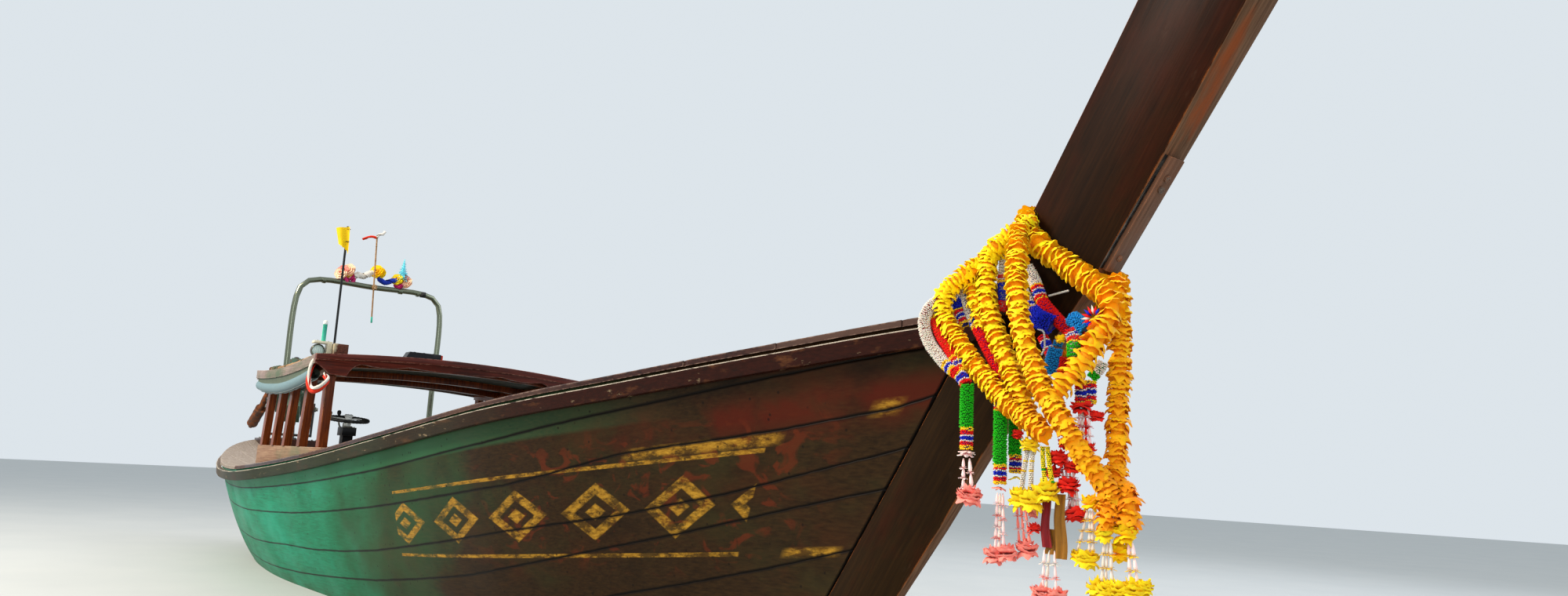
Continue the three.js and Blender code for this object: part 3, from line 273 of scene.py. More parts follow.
def hullPaint():
    # oil paint brushed over varnished planks: teal-green aft, partly paint and partly painted reflection of
    # green water, worn to brown varnish forward, satin
    material, add, shader, place = startMaterial("paintedPlanks", {"IOR": 1.45, "Specular IOR Level": 0.07})
    along, rise, seam = add("SeparateXYZ",
        [add("Attribute", out="Vector", attribute_name="skinPlace")]).node.outputs
    grain = add("Mapping", {"Vector": place, "Scale": (0.04, 1, 1)})
    streak = add("TexNoise", {"Vector": grain, "Scale": 100.0, "Detail": 4.0, "Roughness": 0.6})
    tone = add("MapRange", [streak, 0.3, 0.7])
    green = coats(add, place, add("Mix", [tone, "#066a4a", "#0e8e68"]), *paint["green"])
    brown = coats(add, place, add("Mix", [tone, "#20150a", "#332311"]), *paint["brown"])
    # a red band lingers in the top strakes near the bow
    cloud = add("TexNoise", {"Vector": place, "Scale": 3.0, "Detail": 4.0})
    patchy = add("MapRange", [cloud, 0.4, 0.6, 0, 0.8])
    band = add("Math", [inBand(add, rise, 0.77, 0.84, 0.87, 0.93), add("MapRange", [along, 2.3, 3.1])])
    brown = add("Mix", [add("Math", [band, patchy]), brown, "#4a160a"])
    # faded red paint further down
    oldRed = add("Mapping", {"Vector": place, "Scale": (1, 1, 1.6), "Location": (4.4, 2.0, 7.0)})
    fleck = add("TexNoise", {"Vector": oldRed, "Scale": 5.5, "Detail": 3.0, "Distortion": 1.4})
    fleck = add("MapRange", [fleck, 0.56, 0.64, 0, 0.6])
    for limit in (inBand(add, rise, 0.45, 0.55, 0.8, 0.88), inBand(add, along, 1.8, 2.5, 4.1, 4.5)):
        fleck = add("Math", [fleck, limit])
    brown = add("Mix", [fleck, brown, "#5c2410"])
    # green turns to brown along the boat with a ragged border, by way of olive; green and olive are partly
    # paint and partly painted reflection of the water
    ragged = add("TexNoise", {"Vector": place, "Scale": 1.6, "Detail": 5.0})
    shifted = add("Math", [along, add("MapRange", [ragged, 0, 1, -1.3, 1.3])], operation="ADD")
    colour = add("Mix", [add("MapRange", [shifted, -0.9, 1.1]), green, "#1d5430"])
    colour = add("Mix", [add("MapRange", [shifted, 0.3, 1.9]), colour, brown])
    # the strake under the rail keeps a paler grey-green coat
    under = add("Math", [add("MapRange", [rise, 0.868, 0.88]), add("MapRange", [along, 3.4, 1.4, 0, 0.55])])
    colour = add("Mix", [under, colour, "#2c6a44"])
    # worn gold ornament
    half, line = paint["half"], paint["line"]
    away = add("Math", [farFrom(add, rise, paint["centre"]), 1.32])
    step = add("Math", [along, paint["pitch"]], operation="PINGPONG")
    lozenge = add("Math", [add("Math", [step, half / paint["pitch"] * 1.25]), away], operation="ADD")
    hollow = [add("MapRange", [lozenge, 0.062, 0.068]), add("MapRange", [lozenge, 0.034, 0.028])]
    gold = add("Math", [add("MapRange", [lozenge, half + 0.006, half]),
        add("Math", hollow, operation="MAXIMUM")])
    rim = add("MapRange", [farFrom(add, away, paint["border"]), line + 0.002, line])
    gold = add("Math", [gold, rim], operation="MAXIMUM")
    gold = add("Math", [gold, inBand(add, along, paint["from"] - 0.01, paint["from"], paint["to"],
        paint["to"] + 0.01)])
    for first, last, level, thick in paint["smears"]:
        near = add("MapRange", [farFrom(add, rise, level), thick * 1.6, thick * 0.5])
        near = add("Math", [near, inBand(add, along, first - 0.04, first + 0.04, last - 0.04, last + 0.04)])
        gold = add("Math", [gold, near], operation="MAXIMUM")
    scuff = add("Mapping", {"Vector": place, "Scale": (0.35, 1, 1)})
    wear = add("TexNoise", {"Vector": scuff, "Scale": 26.0, "Detail": 6.0, "Roughness": 0.7})
    gold = add("Math", [gold, add("MapRange", [wear, 0.42, 0.56, 0.12, 0.9])])
    colour = add("Mix", [gold, colour, add("Mix", [tone, "#7a5414", "#b88a2c"])])
    # dirt in the seams, scattered pits, and weed at the waterline
    colour = add("Mix", [add("MapRange", [seam, 0.008, 0.002]), colour, "#0d0805"])
    pits = add("TexVoronoi", {"Vector": place, "Scale": 16.0}, "Distance")
    colour = add("Mix", [add("MapRange", [pits, 0.13, 0.05, 0, 0.75]), colour, "#120c08"])
    weed = add("MapRange", [add("SeparateXYZ", [place], 2), 0.11, 0.015, 0, 0.6])
    colour = add("Mix", [add("Math", [weed, patchy]), colour, "#3a4a26"])
    return finishMaterial(material, add, shader, colour, cloud, (0.26, 0.55), (streak, 0.8, 0.5),
        (wear, 0.6, 0.35))


planksPaint = hullPaint()
print("wood and paint mixed")


# metals, cloth, flowers
def rustedSteel(name, paint, rust, share=(0.5, 0.68), gloss=(0.35, 0.8), seed=0.0):
    # mild steel under thin paint; salt has lifted it in spots and rust shows through
    material, add, shader, place = startMaterial(name, {"IOR": 1.5, "Metallic": 0.0})
    colour, spots = blotches(add, place, paint, rust, 38, *share, seed=seed)
    colour, _ = blotches(add, place, colour, "#1a0e08", 16, 0.6, 0.75, seed=seed + 4, most=0.7)
    colour = add("Mix", [add("Math", [edgeMask(add, 2.5), 0.6]), colour, "#8a8478"])
    grit = add("TexNoise", {"Vector": place, "Scale": 240.0, "Detail": 4.0})
    return finishMaterial(material, add, shader, colour, spots, gloss, (grit, 0.6, 0.4))


def plainMetal(name, colour, smudge, rough=(0.22, 0.45), grainTurn=(0, 0, 0)):
    # bare metal, drawn or machined: fine lines along it and dull salt marks
    material, add, shader, place = startMaterial(name, {"Metallic": 1.0})
    lines = add("Mapping", {"Vector": place, "Rotation": grainTurn, "Scale": (0.05, 1, 1)})
    drawn = add("TexNoise", {"Vector": lines, "Scale": 320.0, "Detail": 3.0})
    tinted, mask = blotches(add, place, colour, smudge, 60, 0.5, 0.8, seed=2.0, most=0.5)
    return finishMaterial(material, add, shader, tinted, mask, rough, (drawn, 0.1, 0.15))


def wovenCloth(name, colour, shade, threadMm=0.8, sheen=0.3, rough=0.8, stainColour="#5a5a50", coat=0.0):
    # plain weave; threads finer than a render pixel are drawn a little coarser than they are
    inputs = {"IOR": 1.5, "Roughness": rough, "Sheen Weight": sheen, "Coat Weight": coat,
        "Coat Roughness": 0.4}
    material, add, shader, place = startMaterial(name, inputs)
    threads = {"Vector": place, "Scale": 160 / threadMm, "Distortion": 0.3}
    warp, weft = [add("TexWave", threads, 1, bands_direction=way) for way in "XZ"]
    weave = add("Math", [warp, weft], operation="MAXIMUM")
    tinted = add("Mix", [weave, shade, colour])
    tinted, _ = blotches(add, place, tinted, stainColour, 130, 0.54, 0.75, seed=1.0, most=0.45)
    tinted, _ = blotches(add, place, tinted, shade, 30, 0.5, 0.8, seed=3.0, most=0.6)
    return finishMaterial(material, add, shader, tinted, None, None, (weave, 0.4, 0.4))


def petal(name, young, old, shadeNearString, rough=0.62):
    # thin crinkled flower petals: soft, a little see-through at their rims; darker towards the string, a
    # painted shade where the rings crowd together
    inputs = {"IOR": 1.4, "Roughness": rough, "Sheen Weight": 0.04, "Subsurface Weight": 0.2,
        "Subsurface Scale": 0.01}
    material, add, shader, place = startMaterial(name, inputs)
    chance, outward, aged = add("SeparateXYZ",
        [add("Attribute", out="Vector", attribute_name="bloom")]).node.outputs
    tint = add("Math", [add("MapRange", [chance, 0, 1, -0.16, 0.16]), aged], operation="ADD")
    tint = add("Math", [tint, 0.0], operation="MAXIMUM", use_clamp=True)
    colour = add("Mix", [tint, young, old])
    colour = add("Mix", [add("MapRange", [outward, 0.75, 0.2]), colour, shadeNearString])
    veins = add("TexNoise", {"Vector": place, "Scale": 420.0, "Detail": 3.0})
    return finishMaterial(material, add, shader, colour, None, None, (veins, 0.5, 0.5))


# mild steel, brushed paint over rust
darkSteel = rustedSteel("paintedSteel", "#2c2f31", "#6b3a1e", seed=1.0)
greenIron = rustedSteel("paintedCastIron", "#3f5a4c", "#5a3420", (0.55, 0.72), (0.4, 0.75), 2.0)
hotSteel = rustedSteel("scorchedSteel", "#4a3226", "#7d4420", (0.42, 0.62), (0.6, 0.9), 3.0)
creamEnamel = rustedSteel("creamEnamel", "#d6cdb2", "#8a5a34", (0.6, 0.74), (0.3, 0.6), 4.0)
whiteEnamel = rustedSteel("whiteEnamel", "#e6e8e2", "#b0a48c", (0.6, 0.8), (0.25, 0.4), 4.6)
greenEnamel = rustedSteel("seaGreenEnamel", "#3fae93", "#2a6a58", (0.6, 0.8), (0.25, 0.4), 4.9)
blackPaint = rustedSteel("blackPaint", "#121314", "#3a2a20", (0.62, 0.8), (0.35, 0.6), 5.0)
# stainless tube, drawn, gone dull in salt air
stainless = plainMetal("stainlessTube", "#7a7f6c", "#565a48", (0.24, 0.36), upright)
alloy = plainMetal("castAlternatorAlloy", "#9a9a94", "#5f5f58", (0.45, 0.7))
brass = plainMetal("seaDulledBrass", "#b58f45", "#5f5a2c", (0.28, 0.55))
zinc = plainMetal("zincPlatedBolts", "#9a978c", "#6a4a30", (0.35, 0.6))
# coated awning cloth with a cotton hem
curtainCloth = wovenCloth("coatedAwningCloth", "#6f8a90", "#4f6c74", 1.2, 0.05, 0.5, "#5f7060", 0.05)
hemCloth = wovenCloth("cottonHem", "#dfe8e6", "#a9c4c4", 1.0)
gussetCloth = wovenCloth("agedAwningCloth", "#4f5c4a", "#3a4436", 1.2, 0.05, 0.6, "#6a644c")
# cotton flag, satin ribbons and thin sashes, dyed bright and dull in their sheen
flagCloth = wovenCloth("yellowFlagCotton", "#f2cc06", "#d8a204", 0.8, 0.06, 0.8, "#c98a10")
redSatin = wovenCloth("redSatin", "#8c0a12", "#5f060c", 0.6, 0.08, 0.42, "#4a0a0c")
goldSatin = wovenCloth("goldBrownSatin", "#a06a14", "#74480c", 0.6, 0.08, 0.42, "#6a4410")
scarletSash = wovenCloth("scarletSash", "#e0300a", "#a81c06", 0.8, 0.06, 0.7, "#c22a0a")
whiteSash = wovenCloth("whiteSash", "#e4ded4", "#b8b0a2", 0.8, 0.06, 0.8, "#b8b0a0")
magentaSash = wovenCloth("magentaSash", "#d02a70", "#8a1048", 0.8, 0.06, 0.7, "#8f1850")
blueSash = wovenCloth("blueSash", "#1236b4", "#0c2278", 0.8, 0.06, 0.7, "#142a7a")
# fresh and fading petals, threaded on string
# the third colour of each is painted shade, laid towards the string and the rope's core
marigold = petal("marigoldPetals", "#ffdc00", "#f98600", "#ff9a00")
yellowPetal = petal("yellowPetals", "#ffe21a", "#f7b70a", "#b87a08")
coralPetal = petal("coralPetals", "#ff9a8a", "#f25a50", "#a8302c")
pinkPetal = petal("palePinkPetals", "#ffe0dc", "#f2a8a8", "#d88080")
redPetal = petal("redPetals", "#f02a1a", "#c80f10", "#7a0808")
whiteBud = petal("jasmineBuds", "#e6ddd0", "#c8baa6", "#80766a")
blueBud = petal("blueBuds", "#0a22c0", "#061390", "#040850")
skyBud = petal("skyBlueBuds", "#128ad0", "#0a68a8", "#083a60")
turquoise = petal("paleTurquoiseCloth", "#7fe0ec", "#35b4d0", "#1a7490")
peach = petal("peachCloth", "#ffdcb8", "#f6b08a", "#c86a4a")
redBud = petal("redBuds", "#e80f0a", "#b00608", "#5a0404")
greenBud = petal("greenBuds", "#18b40c", "#0a8008", "#043c04")
yellowBud = petal("yellowBuds", "#ffd41a", "#f0960a", "#9a5a08")
print("metals, cloth and petals mixed")


def rubber(name, colour, dust, rough=(0.5, 0.8)):
    # moulded rubber or hard plastic: black, dusty, with a soft shine where hands rub it
    material, add, shader, place = startMaterial(name, {"IOR": 1.5})
    colour, mask = blotches(add, place, colour, dust, 45, 0.5, 0.75, seed=3.0, most=0.6)
    pebble = add("TexNoise", {"Vector": place, "Scale": 500.0, "Detail": 2.0})
    return finishMaterial(material, add, shader, colour, mask, rough, (pebble, 0.4, 0.3))


blackRubber = rubber("mouldedBlackRubber", "#141414", "#5a5650")
beltRubber = rubber("beltRubber", "#0f0f10", "#2c2a28", (0.6, 0.85))
boxPlastic = rubber("mouldedBlackPlastic", "#17161a", "#4a4644", (0.3, 0.6))
redPlastic = rubber("mouldedRedPlastic", "#c2320f", "#7a1c08", (0.3, 0.5))


def lampGlass():
    # pressed lens glass in front of a reflector: pale, with fine upright flutes
    inputs = {"IOR": 1.5, "Specular IOR Level": 0.5, "Roughness": 0.12, "Coat Weight": 0.6}
    material, add, shader, place = startMaterial("pressedLensGlass", inputs)
    flute = add("TexWave", {"Vector": place, "Scale": 36.0, "Distortion": 0.2}, 1, bands_direction="Y")
    return finishMaterial(material, add, shader, add("Mix", [flute, "#8fa79a", "#dfeee6"]), None, None,
        (flute, 1.2, 0.5))


lens = lampGlass()


# mesh helpers
def piece(name, points, faces, body, slot, materials, marks=None, faceMaterials=None, smooth=True,
        replaces=()):
    # a mesh in metres that rides on a body; marks holds a vector for each point under an attribute's name
    mesh = bpy.data.meshes.new(name)
    mesh.from_pydata([tuple(p) for p in points], [], faces)
    for material in materials if isinstance(materials, (list, tuple)) else [materials]:
        mesh.materials.append(material)
    if faceMaterials:
        mesh.polygons.foreach_set("material_index", faceMaterials)
    mesh.polygons.foreach_set("use_smooth", [smooth] * len(mesh.polygons))
    for attribute, values in (marks or {}).items():
        stored = mesh.attributes.new(attribute, "FLOAT_VECTOR", "POINT")
        stored.data.foreach_set("vector", [c for value in values for c in value])
    mesh.update()
    made = bpy.data.objects.new(name, mesh)
    bpy.context.scene.collection.objects.link(made)
    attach(made, body)
    if replaces:
        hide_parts(*replaces)
    return made


class Heap:
    # points and faces of several small parts, gathered into one piece
    def __init__(self):
        self.points, self.faces, self.finish, self.marks = [], [], [], []

    def add(self, points, faces, finish=0, marks=None):
        start = len(self.points)
        self.points += [tuple(p) for p in points]
        self.faces += [tuple(start + k for k in face) for face in faces]
        self.finish += [finish] * len(faces)
        self.marks += marks or [(0.5, 1.0, 0.0)] * len(points)

    def loft(self, rows, finish=0, around=True):
        # a skin over rows of points, closed round on itself, with its ends closed as well
        self.add(*grid(len(rows), len(rows[0]), lambda i, j: rows[i][j], True, around), finish=finish)


def gather(heap, name, slot, materials, smooth=False, replaces=(), body="hull", attribute=None):
    marks = {attribute: heap.marks} if attribute else None
    return piece(name, heap.points, heap.faces, body, slot, materials, marks, heap.finish, smooth, replaces)


def gridFaces(rows, columns, closedAround=False):
    reach = columns if closedAround else columns - 1
    return [(i * columns + j, i * columns + (j + 1) % columns, (i + 1) * columns + (j + 1) % columns,
        (i + 1) * columns + j)
        for i in range(rows - 1) for j in range(reach)]


def grid(rows, columns, point, closedAround=False, caps=False):
    # a sheet of rows by columns of points, which may close round on itself
    faces = gridFaces(rows, columns, closedAround)
    if caps:
        faces.append(tuple(range(columns - 1, -1, -1)))
        faces.append(tuple((rows - 1) * columns + j for j in range(columns)))
    return [point(i, j) for i in range(rows) for j in range(columns)], faces


def around(u, v, angle):
    return u * cos(angle) + v * sin(angle)


def circle(count, extra=0):
    # angles of a full turn in equal steps
    return [2 * pi * k / count for k in range(count + extra)]


def smoothPath(stages, stepM):
    # points about stepM apart along a smooth curve through the stages
    p = [Vector(s) for s in stages]
    p = [p[0] * 2 - p[1]] + p + [p[-1] * 2 - p[-2]]
    dense = []
    for i in range(1, len(p) - 2):
        count = max(2, int((p[i + 1] - p[i]).length / stepM * 4))
        for k in range(count):
            t = k / count
            dense.append(0.5 * (2 * p[i] + (p[i + 1] - p[i - 1]) * t
                + (2 * p[i - 1] - 5 * p[i] + 4 * p[i + 1] - p[i + 2]) * t * t
                + (3 * p[i] - p[i - 1] - 3 * p[i + 1] + p[i + 2]) * t ** 3))
    dense.append(p[-2])
    length = sum((b - a).length for a, b in zip(dense, dense[1:]))
    count = max(2, round(length / stepM))
    out, walked, want = [dense[0]], 0.0, length / count
    for a, b in zip(dense, dense[1:]):
        span = (b - a).length
        while span > 0 and walked + span >= want - 1e-9 and len(out) < count:
            out.append(a.lerp(b, (want - walked) / span))
            want += length / count
        walked += span
    out.append(dense[-1])
    return out


def frames(path):
    # a direction and two square directions at each point of a path, without twist
    found, side = [], None
    for i, p in enumerate(path):
        along = (path[min(i + 1, len(path) - 1)] - path[max(i - 1, 0)]).normalized()
        if side is None:
            side = along.orthogonal().normalized()
        side = (side - along * side.dot(along)).normalized()
        found.append((p, along, side, along.cross(side)))
    return found


def pipe(path, radius, sides=12, caps=True):
    # a round tube along a path; radius is one value or a function of the share of its length
    turns = frames(path)
    last = len(turns) - 1

    def point(i, j):
        p, _, u, v = turns[i]
        r = radius(i / last) if callable(radius) else radius
        return p + around(u, v, 2 * pi * j / sides) * r

    return grid(last + 1, sides, point, True, caps)


def turning(origin, direction, profile, sides=24):
    # a turned part: profile lists the distance along the axis and the radius
    axis = Vector(direction).normalized()
    u = axis.orthogonal().normalized()
    v = axis.cross(u)
    start = Vector(origin)

    def point(i, j):
        along, radius = profile[i]
        return start + axis * along + around(u, v, 2 * pi * j / sides) * max(radius, 0.0002)

    return grid(len(profile), sides, point, True, True)


def block(low, high, turn=None, bevel=0.003):
    # a box with broken edges
    shape = bmesh.new()
    bmesh.ops.create_cube(shape, size=1.0)
    size = [b - a for a, b in zip(low, high)]
    middle = Vector([(a + b) / 2 for a, b in zip(low, high)])
    for v in shape.verts:
        v.co = Vector([c * s for c, s in zip(v.co, size)]) + middle
    if bevel:
        bmesh.ops.bevel(shape, geom=list(shape.edges), offset=min(bevel, min(size) * 0.4), segments=2,
            affect="EDGES",
            profile=0.5)
    points = [(turn @ v.co) if turn else v.co.copy() for v in shape.verts]
    faces = [tuple(v.index for v in f.verts) for f in shape.faces]
    shape.free()
    return points, faces


def hexBolt(at, direction, across):
    # a hexagon head on a washer
    head, top, washer = across / 2, across * 0.45, across * 0.12
    points, faces = turning(at, direction, [(0, head * 1.35), (washer, head * 1.35), (washer, head * 1.02)],
        12)
    capPoints, capFaces = turning(Vector(at) + Vector(direction).normalized() * across * 0.12, direction,
        [(0, head), (top * 0.85, head), (top, head * 0.85)], 6)
    return points + capPoints, faces + [tuple(k + len(points) for k in f) for f in capFaces]


def fitting(name, slot, materials, parts, smooth=False, replaces=(), body="hull"):
    # one piece of several solids; a part is its points, its faces and, if it isn't 0, its material's number
    heap = Heap()
    for part in parts:
        heap.add(*part)
    return gather(heap, name, slot, materials, smooth, replaces, body)


def bolts(places, way, across):
    return [hexBolt(place, way, across) for place in places]


def fourSpots(dx, dy):
    return [(x, y) for x in (-dx, dx) for y in (-dy, dy)]


# CAD pieces that keep their shape
def softenGroup():
    # drops the imported face normals, joins the corners and shades smooth where faces meet at a small angle
    group = bpy.data.node_groups.new("smoothByAngle", "GeometryNodeTree")
    for name, way, kind in (("Geometry", "INPUT", "Geometry"), ("Angle", "INPUT", "Float"),
            ("Geometry", "OUTPUT", "Geometry")):
        group.interface.new_socket(name, in_out=way, socket_type="NodeSocket" + kind)
    start, end, drop, weld, faces, edges, angle, under = [group.nodes.new(kind) for kind in (
        "NodeGroupInput", "NodeGroupOutput", "GeometryNodeRemoveAttribute", "GeometryNodeMergeByDistance",
        "GeometryNodeSetShadeSmooth", "GeometryNodeSetShadeSmooth", "GeometryNodeInputMeshEdgeAngle",
        "FunctionNodeCompare")]
    drop.inputs["Name"].default_value = "custom_normal"
    weld.inputs["Distance"].default_value = 0.00005
    faces.domain, edges.domain, under.operation = "FACE", "EDGE", "LESS_THAN"
    for source, target in (
        (start.outputs["Geometry"], drop.inputs[0]), (drop.outputs[0], weld.inputs["Geometry"]),
        (weld.outputs[0], faces.inputs["Geometry"]), (faces.outputs[0], edges.inputs["Geometry"]),
        (angle.outputs["Unsigned Angle"], under.inputs[0]), (start.outputs["Angle"], under.inputs[1]),
        (under.outputs[0], edges.inputs["Shade Smooth"]), (edges.outputs[0], end.inputs[0]),
    ):
        group.links.new(source, target)
    return group, group.interface.items_tree["Angle"].identifier


smoothGroup, angleSocket = softenGroup()
dressed = {  # material, broken edge in millimetres, angle under which faces shade smooth
    "stem_plank": (stemWood, 5), "stem_cover_strip": (stripVarnish, 2), "keel_plank": (keelWood, 6),
    "ribs_and_keelson": (insideWood, 3), "thwart_1": (washWood, 5), "thwart_2": (washWood, 5),
    "thwart_3": (washWood, 5),
    "canopy_frame": (postVarnish, 4), "coaming_starboard": (coamingWood, 4), "coaming_port": (coamingWood, 4),
    "roof_front_fascia": (fasciaFront, 3), "roof_edge_boards": (fasciaSide, 3), "roof_block": (blockWood, 4),
    "stern_arch": (stainless, 0, 50), "arch_cane": (caneWood, 0, 50), "flagpole": (blackPaint, 0, 50),
    "lamp_bracket": (creamEnamel, 2, 40), "helm_pedestal": (blackPaint, 3, 40), "engine_bed": (washWood, 6),
    "swivel_fork": (darkSteel, 3), "engine_block": (greenIron, 4), "cylinder_head": (greenIron, 4),
    "exhaust_pipe": (hotSteel, 0, 50), "air_cleaner": (creamEnamel, 0, 40),
    "front_pulleys": (darkSteel, 0, 40),
    "alternator": (alloy, 0, 40), "tail_tube": (darkSteel, 0, 40), "tail_skeg": (darkSteel, 2),
    "tiller_bar": (darkSteel, 0, 50), "propeller": (brass, 0, 45),
}


def keep(node, material, bevelMm=0.0, smoothUnder=25):
    # the CAD piece stays, with broken edges and its real finish
    kept = cadNodes[node]
    for place in kept.material_slots:
        place.material = material
    if bevelMm:
        kept.modifiers.new("weld", "WELD").merge_threshold = 0.00005
        edge = kept.modifiers.new("brokenEdges", "BEVEL")
        edge.width, edge.segments, edge.limit_method = bevelMm / 1000, 2, "ANGLE"
        edge.angle_limit = radians(32)
        edge.harden_normals = False
    shade = kept.modifiers.new("shade", "NODES")
    shade.node_group = smoothGroup
    shade[angleSocket] = radians(smoothUnder)


for node, finish in dressed.items():
    keep(node, *finish)
print("CAD pieces dressed")


# hull planking
hull = {  # millimetres, the same values as the CAD source
    "tip": -5190, "bowEnd": 4751, "rail": 40, "railDeep": 70, "rimRise": 18, "stemHalf": 46, "plank": 28,
    "rake": 800,
    # x at the gunwale, half-breadth over the rails, height of the rail, height of the bottom, fullness
    "sections": [
        (-5230, 690, 1031, 130, 0.46), (-4700, 745, 930, 20, 0.4), (-4200, 800, 858, -90, 0.36),
        (-3200, 925, 777, -230, 0.33),
        (-2200, 1015, 767, -285, 0.32), (-1500, 1042, 794, -300, 0.32), (-700, 1005, 854, -300, 0.32),
        (0, 951, 925, -300, 0.32),
        (1000, 869, 1049, -295, 0.34), (2000, 757, 1186, -280, 0.4), (2500, 650, 1255, -270, 0.46),
        (3000, 503, 1322, -260, 0.55),
        (3500, 372, 1386, -250, 0.65), (4000, 250, 1444, -235, 0.78), (4400, 168, 1485, -220, 0.88),
        (4751, 86, 1517, -200, 1.0),
    ],
    # seams between the strakes, from the keel up: station in metres and share of the height
    "seams": [
        [(-5.19, 0.16), (-2, 0.11), (0, 0.12), (2, 0.17), (3, 0.24), (4.751, 0.33)],
        [(-5.19, 0.30), (-2, 0.22), (0, 0.235), (2, 0.31), (3, 0.40), (4.2, 0.48), (4.751, 0.52)],
        [(-5.19, 0.39), (-3, 0.345), (-0.792, 0.36), (-0.137, 0.376), (0.576, 0.393), (1.835, 0.451),
        (3.005, 0.538),
         (3.567, 0.575), (4.221, 0.621), (4.751, 0.653)],
        [(-5.19, 0.53), (-3.5, 0.507), (-1.978, 0.511), (-1.012, 0.522), (-0.407, 0.512), (0.204, 0.517),
        (0.688, 0.528),
         (2.2, 0.594), (3.002, 0.624), (3.787, 0.667), (4.647, 0.731), (4.751, 0.74)],
        [(-5.19, 0.745), (-2.506, 0.722), (-1.498, 0.721), (-0.61, 0.711), (0.16, 0.713), (0.801, 0.716),
        (2.239, 0.740),
         (2.548, 0.758), (3.044, 0.796), (4.0, 0.809), (4.577, 0.827), (4.751, 0.845)],
        [(-5.19, 0.885), (-2.5, 0.872), (0.868, 0.868), (2.165, 0.887), (2.891, 0.914), (3.9, 0.938),
        (4.751, 0.952)],
    ],
    "groove": 0.0035, "grooveHalf": 0.0019,
}


def clamp(t, low=0.0, high=1.0):
    return min(high, max(low, t))


def between(table, x):
    if x <= table[0][0]:
        return table[0][1]
    for (x0, a), (x1, b) in zip(table, table[1:]):
        if x <= x1:
            return a + (b - a) * (x - x0) / (x1 - x0)
    return table[-1][1]


def column(x, k):
    rows = hull["sections"]
    last = len(rows) - 1
    if x <= rows[0][0]:
        return rows[0][k]
    if x >= rows[last][0]:
        return rows[last][k]
    i = next(n for n, row in enumerate(rows) if row[0] > x) - 1

    def slope(n):
        a, b = rows[max(n - 1, 0)], rows[min(n + 1, last)]
        return (b[k] - a[k]) / (b[0] - a[0])

    a, b = rows[i], rows[i + 1]
    span = b[0] - a[0]
    t = (x - a[0]) / span
    return ((2 * t**3 - 3 * t**2 + 1) * a[k] + (t**3 - 2 * t**2 + t) * span * slope(i)
        + (3 * t**2 - 2 * t**3) * b[k] + (t**3 - t**2) * span * slope(i + 1))


def stemAft(z):
    return 4416 + 0.715 * (z - 1041) - 0.000022 * (z - 1041) ** 2


def skin(x, up, side):
    # a point of the outer skin in millimetres; up is 0 at the keel and 1 at the gunwale
    top = column(x, 2) + hull["rimRise"]
    bottom = column(x, 3)
    z = bottom + (top - bottom) * up
    bow = clamp((x - 1500) / (hull["bowEnd"] - 1500))
    stern = clamp((-2000 - x) / (-2000 - hull["tip"]))
    raked = bow**1.5 * (stemAft(z) - stemAft(top)) + stern**2 * hull["rake"] * (1 - up) ** 1.5
    edge = hull["stemHalf"] * bow**6
    t = clamp((-1600 - x) / (-1600 - hull["tip"]))
    half = (column(x, 1) - hull["rail"]) * sqrt(max(0.0, 1 - t**6))
    half = edge + (half - edge) * up ** column(x, 4)
    return Vector((x + raked - 0.3 * bow**6, 0 if up == 0 else side * half, z))


def inward(x, up, side):
    # the direction square to the skin, towards the inside
    x0, x1 = max(x - 4, hull["tip"] + 0.5), min(x + 4, hull["bowEnd"])
    u0, u1 = max(up - 0.004, 0), min(up + 0.004, 1)
    out = (skin(x1, up, side) - skin(x0, up, side)).cross(skin(x, u1, side) - skin(x, u0, side)) * side
    if up == 0:
        return Vector((0, 0, 1))
    if up == 1:
        out.z = 0
    return out.normalized()


tip, bowEnd = hull["tip"], hull["bowEnd"]
stations = [tip + d for d in (2, 6, 14, 28, 45, 70, 100, 140, 190, 250, 330, 400, 470, 540, 620, 700, 780,
    860, 950, 1050)]
stations += [stations[-1] + (bowEnd - stations[-1]) * k / 190 for k in range(1, 190)] + [bowEnd - 7,
    bowEnd - 5, bowEnd - 1.5, bowEnd]


